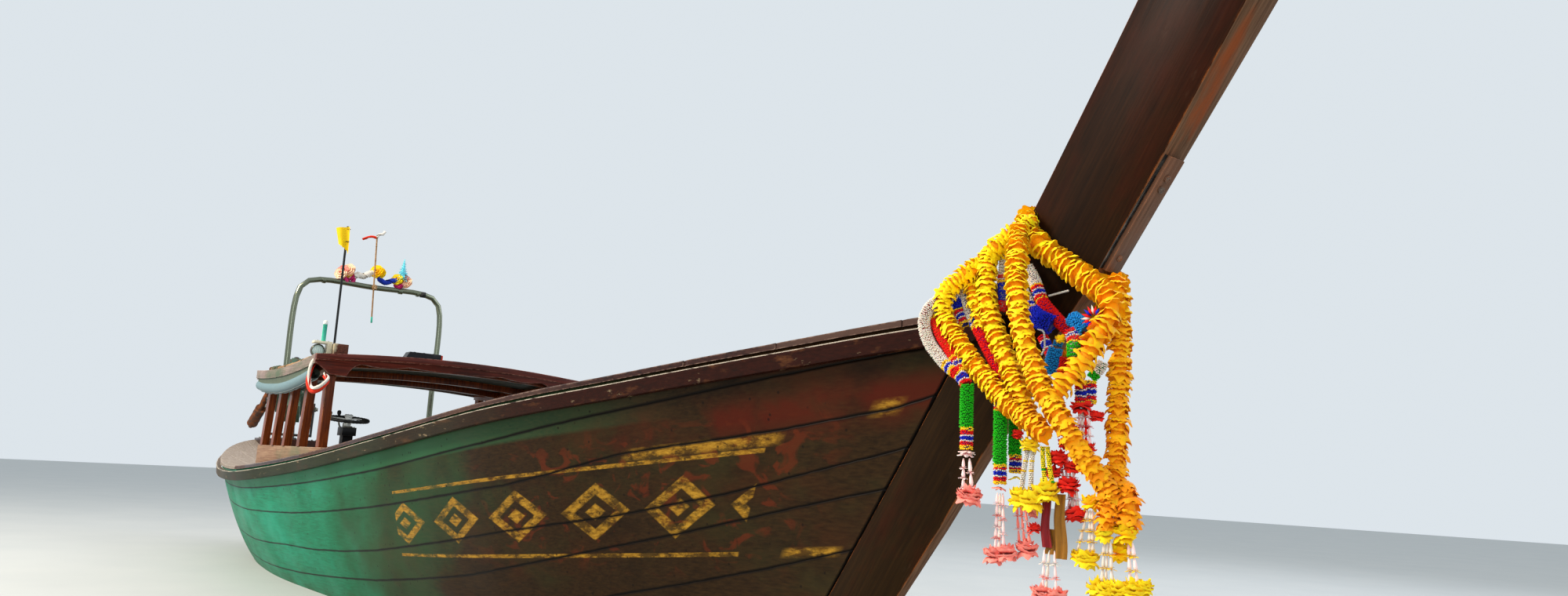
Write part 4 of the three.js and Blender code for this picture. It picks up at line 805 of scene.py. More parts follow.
def planking():
    ends = [lambda x: 0.0] + [lambda x, s=s: between(s, x / 1000) for s in hull["seams"]] + [lambda x: 1.0]
    steps = [7, 5, 5, 5, 5, 5, 5]

    def seamAt(x, k):
        # how far a seam strays from its line, and half its width
        jag = 0.0012 * noise((x / 60, k * 3.1, 0)) + 0.0011 * noise((x / 17, k * 5.3, 2))
        return jag, hull["grooveHalf"] / 1.3 * (1 + 0.7 * noise((x / 90, k * 2.7, 5)))

    def rises(x, strength):
        # shares of the height down one side, with three close together at each seam, and how deep each lies
        found = []
        for k, count in enumerate(steps):
            low, high = ends[k](x), ends[k + 1](x)
            jag, gap = seamAt(x, k)
            first = low + jag + gap if k else low
            if k:
                found += [(low + jag, strength, 0.0, k), (first, 0.0, 0.0025, k),
                    (first + 0.004, 0.0, 0.006, k)]
            for n in range(1, count):
                t = n / count
                share = first + (high - first) * (t if k else t**2)
                room = min(share - low, high - share) * 1.3 if k else (high - share) * 1.3
                found.append((share, 0.0, room, k))
            if k < len(steps) - 1:
                jag, gap = seamAt(x, k + 1)
                found += [(high + jag - gap - 0.004, 0.0, 0.006, k), (high + jag - gap, 0.0, 0.0025, k)]
        return [(0.0, 0.0, 0.4, 0)] + found + [(1.0, 0.0, 0.05, len(steps) - 1)]

    points, marks = [], []
    for x in stations:
        rows = rises(x, hull["groove"])
        atStem = x > bowEnd - 4
        for side in (-1, 1):
            ordered = list(reversed(rows)) if side < 0 else rows[1:]
            for share, deep, seam, strake in ordered:
                p = skin(x, share, side)
                swell = 0.9 * noise((x / 700, strake * 7.7 + side, share * 3))
                depth = deep * 1000 + swell + (5.5 if atStem else 0)
                if share in (0.0, 1.0):
                    depth = 0
                p = p + inward(x, share, side) * depth
                points.append(p / 1000)
                marks.append((x / 1000, share, 0.0 if atStem else seam))
    width = len(points) // len(stations)
    inner = [(k / 14) ** 2 for k in range(15)]
    insideStart = len(points)
    for x in stations:
        for side in (-1, 1):
            for share in list(reversed(inner)) if side < 0 else inner[1:]:
                p = skin(x, share, side) + inward(x, share, side) * hull["plank"]
                if x == bowEnd:
                    p.x -= hull["plank"]
                points.append(p / 1000)
                marks.append((x / 1000, share, 0.3))
    innerWidth = (len(points) - insideStart) // len(stations)
    faces, finish = [], []

    def face(*corners, inside=0):
        faces.append(corners)
        finish.append(inside)

    for a, b, c, d in gridFaces(len(stations), width):
        face(a, d, c, b)
    for quad in gridFaces(len(stations), innerWidth):
        face(*(insideStart + k for k in quad), inside=1)
    for i in range(len(stations) - 1):
        for j, k in ((0, 0), (width - 1, innerWidth - 1)):
            a, b = i * width + j, insideStart + i * innerWidth + k
            rim = (a, b, b + innerWidth, a + width)
            face(*(rim if j == 0 else rim[::-1]))
    for i in (0, len(stations) - 1):
        for start, count, inside in ((i * width, width, 0), (insideStart + i * innerWidth, innerWidth, 1)):
            for j in range(count // 2):
                a, b = start + j, start + count - 1 - j
                corners = (a, a + 1, b - 1, b) if b - 1 > a + 1 else (a, a + 1, b)
                flip = (i == 0) != bool(inside)
                face(*(corners if flip else corners[::-1]), inside=inside)
        a, b = i * width, i * width + width - 1
        c, d = insideStart + i * innerWidth, insideStart + i * innerWidth + innerWidth - 1
        face(*((a, b, d, c) if i == 0 else (c, d, b, a)))
    piece("hullPlanks", points, faces, "hull", "wood_hull", [planksPaint, insideWood], {"skinPlace": marks},
        finish,
        replaces=["hull_planking"])


planking()


# rub rails, decks and washboards
def outline():
    # the gunwale's plan from the stern to the bow, port side, with its outward direction
    plan = [skin(x, 1.0, 1) for x in stations]
    found = []
    for i, p in enumerate(plan):
        a, b = plan[max(i - 1, 0)], plan[min(i + 1, len(plan) - 1)]
        along = Vector((b.x - a.x, b.y - a.y, 0)).normalized()
        found.append((p, Vector((-along.y, along.x, 0)) if i else Vector((-1, 0, 0))))
    return found


edgePlan = outline()


def railPaint():
    # the rail takes knocks: grey-green paint aft, red-brown varnish forward, pale along its top corner,
    # partly knocked bare wood and partly a painted highlight
    material, add, shader, place = startMaterial("paintedRubRail", {"IOR": 1.5, "Specular IOR Level": 0.1})
    along = add("SeparateXYZ", [place], 0)
    grain = add("Mapping", {"Vector": place, "Scale": (0.04, 1, 1)})
    streak = add("TexNoise", {"Vector": grain, "Scale": 120.0, "Detail": 4.0})
    green = coats(add, place, add("Mix", [streak, "#14180f", "#30351c"]),
        ("#3c2412", 240, 0.52, 0.66, (0.4, 1, 1), 2.0))
    red = coats(add, place, add("Mix", [streak, "#140603", "#38140b"]),
        ("#6a4022", 70, 0.56, 0.7, (0.22, 1, 1), 4.0, 0.8))
    ragged = add("TexNoise", {"Vector": place, "Scale": 1.3, "Detail": 4.0})
    shifted = add("Math", [along, add("MapRange", [ragged, 0, 1, -1.5, 1.5])], operation="ADD")
    colour = add("Mix", [add("MapRange", [shifted, 0.4, 2.6]), green, red])
    colour = add("Mix", [add("MapRange", [along, -2.2, -4.2, 0, 0.85]), colour, "#6f5a4c"])
    # paler on edges that face up: knocked wood, and a painted highlight where the top catches the light
    above = add("MapRange", [add("SeparateXYZ", [add("NewGeometry", out="Normal")], 2), -0.1, 0.5])
    chips = add("TexNoise", {"Vector": grain, "Scale": 60.0, "Detail": 4.0})
    knockedAndLitEdge = add("Math", [add("Math", [edgeMask(add, 12), above]), add("MapRange", [chips, 0.35, 0.5])])
    colour = coats(add, place, add("Mix", [knockedAndLitEdge, colour, "#c4b8a4"]),
        ("#160d08", 55, 0.6, 0.78, (0.4, 1, 1), 7.0, 0.7), ("#8f7a5c", 34, 0.63, 0.7, (0.3, 1, 1), 9.0, 0.75))
    return finishMaterial(material, add, shader, colour, ragged, (0.3, 0.65), (streak, 1.0, 0.5))


railFinish = railPaint()


def shadeByAngle(made, degrees):
    made.data.polygons.foreach_set("use_smooth", [True] * len(made.data.polygons))
    made.data.set_sharp_from_angle(angle=radians(degrees))


def rubRail():
    heap = Heap()
    deep, thick = hull["railDeep"], hull["rail"]
    profile = [  # out from the planks, down from the rail's top
        (3, 0), (thick - 8, 0), (thick - 3, 1.5), (thick, 6), (thick - 2, 18), (thick - 3, 20),
        (thick - 4, 22),
        (thick - 7, deep - 8), (thick - 10, deep - 2), (thick - 16, deep), (3, deep),
    ]
    for side in (-1, 1):
        rows = []
        for i, (p, out) in enumerate(edgePlan):
            z = p.z - hull["rimRise"]
            wobble = 0.8 * noise((p.x / 260, side, 1))
            reach = [d + wobble * (d > 20) for d, _ in profile]
            rows.append([Vector((p.x + out.x * far, (p.y if i else 0.5) + out.y * far, z - down))
                for far, (_, down) in zip(reach, profile)])
        head = hull["sections"][-1][2]
        for ahead, lean in ((60, 0), (128, -4)):
            z = head + ahead * 0.08
            rows.append([Vector((bowEnd + ahead + lean, hull["stemHalf"] + max(d - 8, 0.8), z - down)) for d,
                down in profile])
        rows = [[Vector((p.x, side * p.y, p.z)) / 1000 for p in row][::-side] for row in rows]
        heap.loft(rows)
    shadeByAngle(gather(heap, "rubRails", "wood_red", [railFinish], replaces=["rub_rail"]), 30)


rubRail()


def halfAt(x):
    # half the deck's width at a place along the boat, in millimetres
    points = [(p.x + out.x * 10, p.y + out.y * 10) for p, out in edgePlan]
    if x <= points[0][0]:
        return 0.0
    return between(points, x)


def rimAt(x):
    return column(x, 2) + hull["rimRise"]


def section(x, corners):
    # a board's outline at one station, in metres
    return [Vector((x, y, h)) / 1000 for y, h in reversed(corners)]


def boards(heap, spans, fromX, toX, level, thick, stepMm=90, edge=2.5, butts=()):
    # boards laid fore and aft: each span is a board's two sides, cut off by the deck's outline
    for y0, y1 in spans:
        stops = [fromX, *[b + 0.001 * y0 for b in butts if fromX < b < toX], toX]
        for a, b in zip(stops, stops[1:]):
            start, end = a + (1.5 if a != fromX else 0), b - (1.5 if b != toX else 0)
            places, x = [], start
            while x < end - 10:  # close together where the stern's outline turns
                places.append(x)
                x += 14 if x < hull["tip"] + 900 else stepMm
            rows = []
            for x in places + [end]:
                half = halfAt(x)
                low, high = max(y0, -half), min(y1, half)
                if high - low < 1.5:
                    continue
                z = level(x, (low + high) / 2)
                cup = 0.8 * noise((x / 400, y0, 3))
                e = min(edge, (high - low) / 4)
                rows.append(section(x, [(low, z - thick), (low, z - e), (low + e, z + cup * 0.3),
                    (high - e, z - cup * 0.3),
                    (high, z - e), (high, z - thick)]))
            if len(rows) > 1:
                heap.loft(rows)


def spread(low, high, width, gapMm=4.0, jitter=0.0):
    # sides of boards of about one width that fill a span
    count = max(1, round((high - low) / width))
    cuts = [low + (high - low) * k / count for k in range(count + 1)]
    for k in range(1, count):
        cuts[k] += jitter * noise((k * 1.7, low, high))
    return [(a + gapMm / 2, b - gapMm / 2) for a, b in zip(cuts, cuts[1:])]


def deckBoards():
    overDeck = lambda x, y: rimAt(x) + 25.3
    for name, node, spans, fromX, toX, wood, more in (
        ("sternDeck", "stern_deck_boards", spread(-985, 985, 150, 4, 26), tip - 8, -2081, deckWood,
        {"butts": (-3650,)}),
        ("foredeck", "foredeck_boards", spread(-480, 480, 120, 1.8, 16), 3001, 4752, washWood,
        {"stepMm": 24}),
    ):
        heap = Heap()
        boards(heap, spans, fromX, toX, overDeck, 25, **more)
        gather(heap, name + "Planks", "wood_deck", [wood], replaces=[node])
    for name, side in (("starboard", -1), ("port", 1)):
        heap = Heap()
        for a, b in ((-2079, -620), (-617, 1290), (1293, 2999)):
            rows = []
            count = int((b - a) / 60)
            for k in range(count + 1):
                x = a + (b - a) * k / count
                outer, z = halfAt(x), overDeck(x, 0)
                wobble = 1.2 * noise((x / 130, side, 8))
                tops = [(outer, z - 25), (outer + wobble, z - 5), (outer - 4 + wobble, z),
                    (outer - 62, z + 0.5), (outer - 64, z - 3),
                    (outer - 67, z - 3), (outer - 69, z + 0.5), (outer - 156, z), (outer - 160, z - 4),
                    (outer - 160, z - 25)]
                rows.append(section(x, [(side * y, h) for y, h in tops])[::-side])
            heap.loft(rows)
        gather(heap, f"washboard_{name}_planks", "wood_red", [washWood], replaces=[f"washboard_{name}"])


deckBoards()


def floorBoards():
    floor = Heap()
    low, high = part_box("floor_boards")
    wide = max(-low.y, high.y) * 1000
    for y0, y1 in spread(-wide, wide, 165, 5, 10):
        rows = []
        for k in range(24):
            x = -2698 + (1898 + 2698) * k / 23
            half = (halfAt(x) - 40) * wide / 1000
            a, b = max(y0, -half), min(y1, half)
            if b - a >= 20:
                rows.append(section(x, [(a, 10.4), (a, 29), (a + 3, 32), (b - 3, 32), (b, 29), (b, 10.4)]))
        if len(rows) > 1:
            floor.loft(rows)
    gather(floor, "floorPlanks", "wood_grey", [insideWood], replaces=["floor_boards"])


roof = {"aft": -1905, "fore": -200, "half": 945, "thick": 22, "edge": 1582, "camber": 46}


def roofTop(x, y):
    u = (roof["fore"] - x) / 1000
    return roof["edge"] + 8 + roof["camber"] * (1 - (y / roof["half"]) ** 2) - 100 * u + 47 * u * u


def roofBoards():
    heap = Heap()
    for y0, y1 in spread(-944, 944, 135, 3.5, 12):
        rows = []
        for k in range(19):
            x = roof["aft"] + 1 + (roof["fore"] - roof["aft"] - 2) * k / 18
            za, zb = roofTop(x, y0), roofTop(x, y1)
            cup = 0.8 * noise((x / 300, y0, 9))
            rows.append(section(x, [(y0, za - 22), (y0, za - 3), (y0 + 3, za + cup * 0.2),
                (y1 - 3, zb - cup * 0.2),
                (y1, zb - 3), (y1, zb - 22)]))
        heap.loft(rows)
    gather(heap, "roofBoards", "wood_grey", [roofWood], replaces=["roof_panel"])


floorBoards()
roofBoards()
print("planks, rails and decks laid")


# garlands over the stem
garland = {  # millimetres; the routes lie in the space of the CAD source's ropes
    "ropeRadius": 33, "frillEvery": 14, "lobes": 8,
    "ropes": [
        [(5015, -75, 1826), (5004, -100, 1805), (5007, -135, 1767), (5028, -170, 1719), (5051, -200, 1660),
         (5065, -220, 1603), (5082, -235, 1547), (5093, -240, 1494), (5110, -245, 1442),
         (5129, -245, 1378), (5157, -245, 1316), (5204, -245, 1231), (5259, -240, 1156),
         (5287, -215, 1091), (5310, -185, 1042), (5332, -150, 992), (5352, -130, 939)],
        [(5001, -85, 1806), (4977, -110, 1786), (4951, -125, 1764), (4925, -140, 1741), (4901, -150, 1712),
         (4896, -160, 1674), (4898, -165, 1629), (4902, -170, 1578), (4914, -175, 1527),
         (4940, -180, 1474), (4964, -185, 1428), (4995, -190, 1381), (5029, -195, 1320),
         (5059, -200, 1263), (5090, -200, 1203), (5135, -200, 1137)],
        [(4925, -120, 1735), (4886, -140, 1702), (4865, -165, 1674), (4847, -190, 1651),
         (4818, -210, 1628), (4787, -220, 1601), (4768, -225, 1566), (4766, -225, 1524),
         (4785, -225, 1480), (4818, -225, 1439), (4857, -225, 1391), (4908, -225, 1337),
         (4965, -225, 1286), (5019, -225, 1235), (5069, -225, 1199), (5117, -225, 1167), (5178, -225, 1126)],
        [(4862, -145, 1690), (4845, -150, 1669), (4839, -165, 1625), (4848, -170, 1576),
         (4859, -165, 1531), (4873, -160, 1484)],
        [(5001, -85, 1782), (5039, -92, 1747), (5072, -90, 1711), (5108, -85, 1685), (5152, -83, 1654),
         (5193, -83, 1624), (5237, -88, 1591), (5275, -90, 1563), (5312, -100, 1534), (5332, -110, 1500),
         (5332, -125, 1465), (5322, -140, 1431), (5311, -155, 1398), (5298, -170, 1360),
         (5279, -185, 1325), (5257, -200, 1291), (5236, -215, 1258), (5213, -225, 1230)],
        [(5010, -88, 1795), (4985, -80, 1826), (4968, -45, 1846), (4963, 0, 1850), (4968, 45, 1846),
         (4985, 84, 1826), (5110, 88, 1702), (5205, 86, 1628), (5240, 50, 1596), (5262, 5, 1590),
         (5285, -22, 1590), (5308, -40, 1531), (5314, -45, 1482), (5318, -50, 1432), (5324, -55, 1377),
         (5325, -60, 1320), (5325, -65, 1244), (5326, -70, 1168), (5327, -75, 1091), (5328, -85, 1016),
         (5341, -100, 957)],
        [(4985, 90, 1800), (4900, 130, 1690), (4880, 150, 1560), (4920, 160, 1440), (4990, 160, 1380),
         (5060, 150, 1420), (5110, 130, 1520), (5150, 95, 1640)],
    ],
}
flowerFinishes = [marigold, yellowPetal, coralPetal, pinkPetal, redPetal, whiteBud, blueBud, skyBud, redBud,
    greenBud, yellowBud]
orange, yellow, coral, pink, red, white, royal, sky, scarlet, green, gold = range(11)
down, upward, eastward, northward = Vector((0, 0, -1)), Vector((0, 0, 1)), Vector((1, 0, 0)), Vector((0, 1,
    0))


def metres(route):
    return [Vector(p) / 1000 for p in route]


def frill(heap, at, along, u, v, radius, drop, lobes, finish, chance, aged, flare=0.2):
    # one ruffled ring of petals: its lip runs in rounded lobes, some lifted and some drooping
    columns = lobes * 5
    turn = chance.uniform(0, 2 * pi)
    lobe = [(chance.uniform(0.55, 1.4), chance.uniform(-0.75, 0.6), chance.random()) for _ in range(lobes)]
    points, marks = [], []
    for share, fall, level in ((0.4, 0.0, 0.15), (0.8, 0.12, 0.5), (0.97, 0.5, 0.85), (1.0, 1.0, 1.0)):
        for i in range(columns):
            which, part = divmod(i, 5)
            reach, lift, tint = lobe[which]
            bulge = sin(pi * (part + 0.5) / 5)
            angle = turn + 2 * pi * (i + 0.5) / columns
            far = share + (flare * bulge * reach - 0.12 * (1 - bulge)) * (level - 0.15) ** 2
            ripple = 0.10 * sin(angle * 17 + turn * 3 + which) * level
            low = fall * (0.55 + 0.45 * bulge) + lift * level ** 2 * bulge + ripple
            points.append(at + around(u, v, angle) * radius * far + along * drop * low)
            marks.append((tint, level, aged))
    heap.add(points, gridFaces(4, columns, True), finish, marks)


def petalShape(root, out, across, reach, width, curl):
    rows = []
    normal = out.cross(across).normalized()
    for share, wide, lift in ((0.15, 0.4, 0.0), (0.6, 1.0, 0.35), (1.0, 0.12, 1.0)):
        for k in (-1, 0, 1):
            dip = -0.12 * reach * (1 - abs(k)) * share
            aside = across * (width * wide * k / 2)
            rows.append(root + out * reach * share + aside + normal * (curl * lift + dip))
    return rows, [(0, 1, 4, 3), (1, 2, 5, 4), (3, 4, 7, 6), (4, 5, 8, 7)], (0.3, 0.3, 0.3, 0.8, 0.8, 0.8, 1.0,
        1.0, 1.0)


def flowerHead(heap, at, along, u, v, radius, count, finish, chance, aged=0.0, lean=0.2):
    # a small open flower with pointed petals
    twist = chance.uniform(0, 2 * pi)
    for k in range(count):
        angle = twist + 2 * pi * (k + chance.uniform(-0.2, 0.2)) / count
        out = around(u, v, angle)
        reach = radius * chance.uniform(0.8, 1.1)
        tilt = (out + along * (lean + chance.uniform(-0.25, 0.25))).normalized()
        across = (along.cross(out) + along * chance.uniform(-0.35, 0.35)).normalized()
        points, faces, levels = petalShape(at, tilt, across, reach, reach * chance.uniform(0.4, 0.6),
            -radius * chance.uniform(0.05, 0.3))
        tint = chance.random()
        heap.add(points, faces, finish, [(tint, level, aged) for level in levels])


def flowerRope(heap, route, radius, seed, finish=orange, every=None, lobes=None, flare=0.2):
    # ruffled rings threaded close together; the rope ends in a smaller one
    chance = random.Random(seed)
    path = smoothPath(metres(route), (every or garland["frillEvery"]) / 1000)
    heap.add(*pipe(path, radius * 0.62 / 1000, 8), finish=finish, marks=[(0.5, 0.3, 0.4)] * (len(path) * 8))
    for k, (p, along, u, v) in enumerate(frames(path)):
        if along.z > 0:
            along = -along
        # yellow by the stem's after side, deeper orange forward and low
        aged = clamp((p.x - 4.98) / 0.4) * 0.42 + clamp((1.6 - p.z) / 0.6) * 0.42
        puff = 0.95 + 0.09 * sin(k * 1.9 + seed) + chance.uniform(-0.07, 0.07)
        end = 0.82 if k in (0, len(path) - 1) else 1
        lean = (along + u * chance.uniform(-0.16, 0.16) + v * chance.uniform(-0.16, 0.16)).normalized()
        side = lean.orthogonal().normalized()
        frill(heap, p, lean, side, lean.cross(side), radius / 1000 * puff * end, radius / 1000 * 0.56,
            lobes or garland["lobes"], finish,
            chance, aged, flare)


def bud(heap, at, out, long, wide, finish, chance):
    side = out.orthogonal().normalized()
    other = out.cross(side)
    turn = chance.uniform(0, pi)
    ring = [at + out * long * 0.45 + around(side, other, turn + k * quarter) * wide for k in range(4)]
    points = [at] + ring + [at + out * long]
    faces = [(0, 2, 1), (0, 3, 2), (0, 4, 3), (0, 1, 4), (5, 1, 2), (5, 2, 3), (5, 3, 4), (5, 4, 1)]
    tint = chance.random()
    heap.add(points, faces, finish, [(tint, 0.3, 0.1)] + [(tint, 0.8, 0.1)] * 4 + [(tint, 1.0, 0.1)])


narrow = [(0.006, white), (0.012, royal), (0.006, white)]
redBands = [(0.008, gold), (0.010, scarlet), *narrow, (0.010, scarlet), (0.008, gold)]


def budRope(heap, route, radius, colours, seed):
    # buds threaded side by side; each colour fills its own share of the length
    chance = random.Random(seed)
    path = smoothPath(metres(route), 0.0058)
    turns = frames(path)
    wanted = sum(size for size, _ in colours)
    core = path[::3] + [path[-1]]
    heap.add(*pipe(core, radius * 0.74 / 1000, 8), finish=colours[len(colours) // 2][1],
        marks=[(0.5, 0.3, 0.3)] * (len(core) * 8))
    count = max(6, round(2 * pi * radius / 7.5))
    for i, (p, along, u, v) in enumerate(turns):
        walked = i / (len(turns) - 1) * wanted
        at, finish = 0.0, colours[-1][1]
        for size, colour in colours:
            if at <= walked < at + size:
                finish = colour
                break
            at += size
        for k in range(count):
            angle = 2 * pi * (k + 0.5 * (i % 2) + chance.uniform(-0.15, 0.15)) / count
            out = around(u, v, angle)
            lean = (out + along * chance.uniform(-0.5, 0.5)).normalized()
            long = min(0.011, radius * 0.5 / 1000) * chance.uniform(0.85, 1.15)
            bud(heap, p + out * (radius / 1000 - long * 0.85), lean, long, 0.0036, finish, chance)


def carnation(heap, at, radius, finish, seed, tall=0.42, aged=0.2):
    # a crumpled bloom that hangs mouth down, with its green calyx on top
    chance = random.Random(seed)
    at = Vector(at) / 1000
    r = radius / 1000
    for share, level, way in ((0.72, -0.5, 1), (0.96, -0.15, 1), (1.0, -0.3, -1), (1.0, 0.05, -1),
            (0.86, 0.35, -1), (0.66, 0.6, -1), (0.4, 0.8, -1)):
        tip = Vector((chance.uniform(-0.2, 0.2), chance.uniform(-0.2, 0.2), 0))
        along = (down * way + tip).normalized()
        side = along.orthogonal().normalized()
        frill(heap, at - down * (level * r * tall), along, side, along.cross(side), r * share * 0.84,
            r * tall, 6, finish, chance,
            aged + chance.uniform(-0.12, 0.12), 0.3)
    flowerHead(heap, at - down * (r * tall * 0.95), down, eastward, northward, 0.011, 5, green, chance, 0.6,
        0.4)


def star(heap, at, radius, finish, seed, count=7, lean=0.8):
    flowerHead(heap, Vector(at) / 1000, down, eastward, northward, radius / 1000, count, finish,
        random.Random(seed), 0.1, lean)


def jasmine(heap, top, bottom, link, blossoms, seed, wide=6.0, long=36):
    # a thread of long buds end to end, with a small open flower at each joint
    top, bottom = Vector(top) / 1000, Vector(bottom) / 1000
    steps = max(1, round((top - bottom).length * 1000 / long))
    chance = random.Random(seed)
    for k in range(steps):
        a, b = top.lerp(bottom, k / steps), top.lerp(bottom, (k + 0.94) / steps)
        size = (b - a).length
        w = wide / 1000 * chance.uniform(0.85, 1.15)
        points, faces = turning(a, b - a, [(0, w * 0.3), (size * 0.3, w * 0.7), (size * 0.72, w),
            (size * 0.93, w * 0.8), (size, w * 0.25)], 7)
        heap.add(points, faces, link, [(chance.random(), 0.9, 0.1)] * len(points))
        blossom = blossoms[k % len(blossoms)]
        if blossom is not None:
            flowerHead(heap, b, down, eastward, northward, 0.0155, 6, blossom, chance, 0.1, 0.55)
            flowerHead(heap, b, -down, eastward, northward, 0.011, 5, blossom, chance, 0.1, 0.4)


def tube(heap, x, y, high, low, radius, colours, seed):
    budRope(heap, [(x, y, high), (x, y, (high + low) / 2), (x, y, low)], radius, colours, seed)


garlandStrings = [  # route, radius, colours with their shares of the length, and seed
    ([(4800, -150, 1600), (4751, -200, 1574), (4739, -235, 1554), (4727, -255, 1528), (4715, -260, 1492),
     (4721, -260, 1455), (4744, -260, 1414), (4777, -260, 1379), (4813, -260, 1346), (4848, -260, 1322),
     (4885, -260, 1300), (4906, -260, 1275)], 21, [(0.355, white), (0.010, gold), *narrow, (0.012, gold),
     (0.018, scarlet), (0.008, gold), *narrow, (0.010, scarlet)], 51),
    ([(4720, -200, 1542), (4727, -225, 1514), (4741, -230, 1481), (4768, -235, 1441), (4806, -240, 1400),
     (4843, -245, 1359), (4880, -250, 1315)], 19, [(0.014, scarlet), *narrow, (0.012, gold),
     (0.16, scarlet), *redBands], 52),
    ([(4788, -155, 1622), (4783, -160, 1605), (4775, -165, 1574), (4772, -165, 1547), (4776, -165, 1538),
     (4791, -165, 1514), (4809, -165, 1484)], 19, [(0.085, royal), *redBands], 53),
    ([(4785, -150, 1599), (4808, -155, 1561), (4823, -155, 1523), (4845, -160, 1492), (4868, -165, 1461),
     (4900, -170, 1417), (4931, -175, 1374), (4963, -180, 1330), (4993, -185, 1286)], 20, [(0.105, white),
     (0.006, gold), *narrow, (0.010, gold), (0.21, scarlet)], 54),
    ([(4921, -90, 1762), (4917, -100, 1734), (4923, -110, 1694), (4925, -115, 1654), (4924, -120, 1625),
     (4932, -125, 1592), (4936, -125, 1561), (4930, -125, 1525)], 17, [(0.010, white), (0.010, scarlet),
     *narrow, (0.010, scarlet), (0.075, white), (0.008, scarlet), (0.006, white), (0.012, gold),
     (0.065, royal), (0.03, scarlet)], 55),
    ([(5000, -85, 1663), (5027, -90, 1625), (5050, -95, 1584), (5073, -100, 1543), (5111, -105, 1504),
     (5144, -105, 1472), (5176, -105, 1445)], 21, [(0.075, white), *redBands, (0.145, scarlet)], 56),
    ([(5002, -105, 1582), (5029, -110, 1538), (5050, -115, 1508)], 19, [(0.035, white),
     *narrow, (0.016, gold)], 57),
    ([(5050, -117, 1505), (5084, -122, 1482), (5115, -127, 1469), (5128, -124, 1462)], 32, [(0.1, royal)],
     58),
    ([(5202, -120, 1476), (5234, -125, 1456), (5256, -125, 1437)], 26, [(0.06, sky)], 59),
    ([(5157, -128, 1408), (5155, -130, 1396)], 15, [(0.03, sky)], 60),
    ([(5151, -135, 1384), (5143, -140, 1345), (5135, -140, 1311)], 23, [(0.08, sky)], 61),
    ([(5091, -120, 1427), (5109, -120, 1397), (5121, -120, 1372)], 17, [(0.015, scarlet),
     *narrow, (0.02, scarlet)], 62),
    ([(5212, -140, 1432), (5226, -145, 1407), (5230, -150, 1383), (5231, -150, 1358)],
     22, [(0.008, scarlet), *narrow, (0.010, scarlet), (0.010, gold), (0.045, green)], 63),
    ([(5253, -120, 1425), (5252, -130, 1398), (5247, -135, 1377)], 13, [(0.03, scarlet)], 64),
    ([(5179, -130, 1355), (5180, -135, 1329), (5173, -140, 1300)], 14, [(0.03, scarlet)], 65),
    ([(5296, -100, 1338), (5284, -110, 1312), (5270, -120, 1293)], 17, [(0.035, white), (0.02, green)],
     66),
    ([(5107, -110, 1558), (5141, -110, 1562), (5176, -110, 1566)], 2.2, [(0.07, white)], 69),
    ([(5090, -140, 1450), (5118, -150, 1437), (5122, -150, 1390), (5108, -145, 1370)],
     2.0, [(0.07, white)], 70),
]
garlandTubes = [  # x, y, top, foot, radius, colours, seed
    (5266, -120, 1284, 1220, 19, redBands, 67), (5249, -140, 1278, 1214, 19, redBands, 68),
    (4911, -260, 1272, 1142, 22, [(1, green)], 81), (4914, -260, 1138, 1076, 21, redBands, 82),
    (5000, -205, 1233, 1197, 21, redBands, 91), (5001, -205, 1194, 1034, 22, [(1, green)], 92),
    (5003, -205, 1030, 974, 21, redBands, 93), (5013, -150, 1225, 1065, 21, [(1, green)], 101),
    (5016, -150, 1062, 1010, 20, redBands, 102),
]
garlandBlooms = [  # place, radius, finish, seed and now and then how tall
    ((5182, -150, 1412), 17, orange, 71), ((4931, -260, 930), 42, coral, 87),
    ((4986, -205, 758), 36, coral, 98), ((5030, -200, 768), 34, coral, 99),
    ((5040, -170, 1125), 19, red, 104), ((5064, -150, 782), 36, coral, 108),
    ((5122, -215, 1088), 31, yellow, 111), ((5102, -225, 930), 40, yellow, 116, 0.5),
    ((5142, -228, 926), 38, yellow, 117, 0.5), ((5176, -205, 955), 42, yellow, 118, 0.45),
    ((5252, -140, 1207), 34, red, 146, 0.3), ((5136, -170, 662), 34, coral, 150),
    ((5192, -170, 664), 30, coral, 151), ((5283, -140, 932), 28, orange, 152, 0.5),
    ((5244, -138, 778), 26, orange, 156), ((5274, -142, 772), 37, yellow, 157),
    ((5193, -170, 1054), 34, red, 120, 0.4), ((5219, -160, 976), 36, red, 121, 0.4),
    ((5181, -180, 1012), 27, red, 122, 0.4), ((5226, -150, 1030), 26, red, 123, 0.4),
    ((5212, -165, 1100), 22, red, 124, 0.4), ((5229, -160, 1142), 22, red, 125, 0.4),
    ((5285, -115, 1180), 24, red, 126, 0.4), ((5262, -125, 1085), 26, red, 127, 0.4),
    ((5111, -180, 889), 17, coral, 128, 0.4), ((5116, -180, 848), 21, red, 129, 0.4),
    ((5232, -140, 897), 34, red, 130, 0.4), ((5331, -140, 848), 28, yellow, 160, 0.5),
    ((5374, -110, 852), 36, orange, 161, 0.5), ((5345, -90, 799), 34, orange, 162, 0.5),
    ((5306, -135, 696), 34, yellow, 163, 0.5), ((5338, -135, 690), 38, yellow, 164, 0.5),
    ((5375, -125, 692), 40, yellow, 165, 0.5), ((5414, -115, 702), 38, yellow, 166, 0.5),
    ((5436, -108, 712), 26, yellow, 167, 0.5),
]
garlandStars = [  # place, radius, finish, seed and number of petals
    ((4915, -260, 1072), 32, pink, 83, 9), ((4915, -260, 1064), 28, pink, 84, 8),
    ((5003, -205, 966), 26, coral, 94, 8), ((5018, -150, 1000), 24, yellow, 103),
]


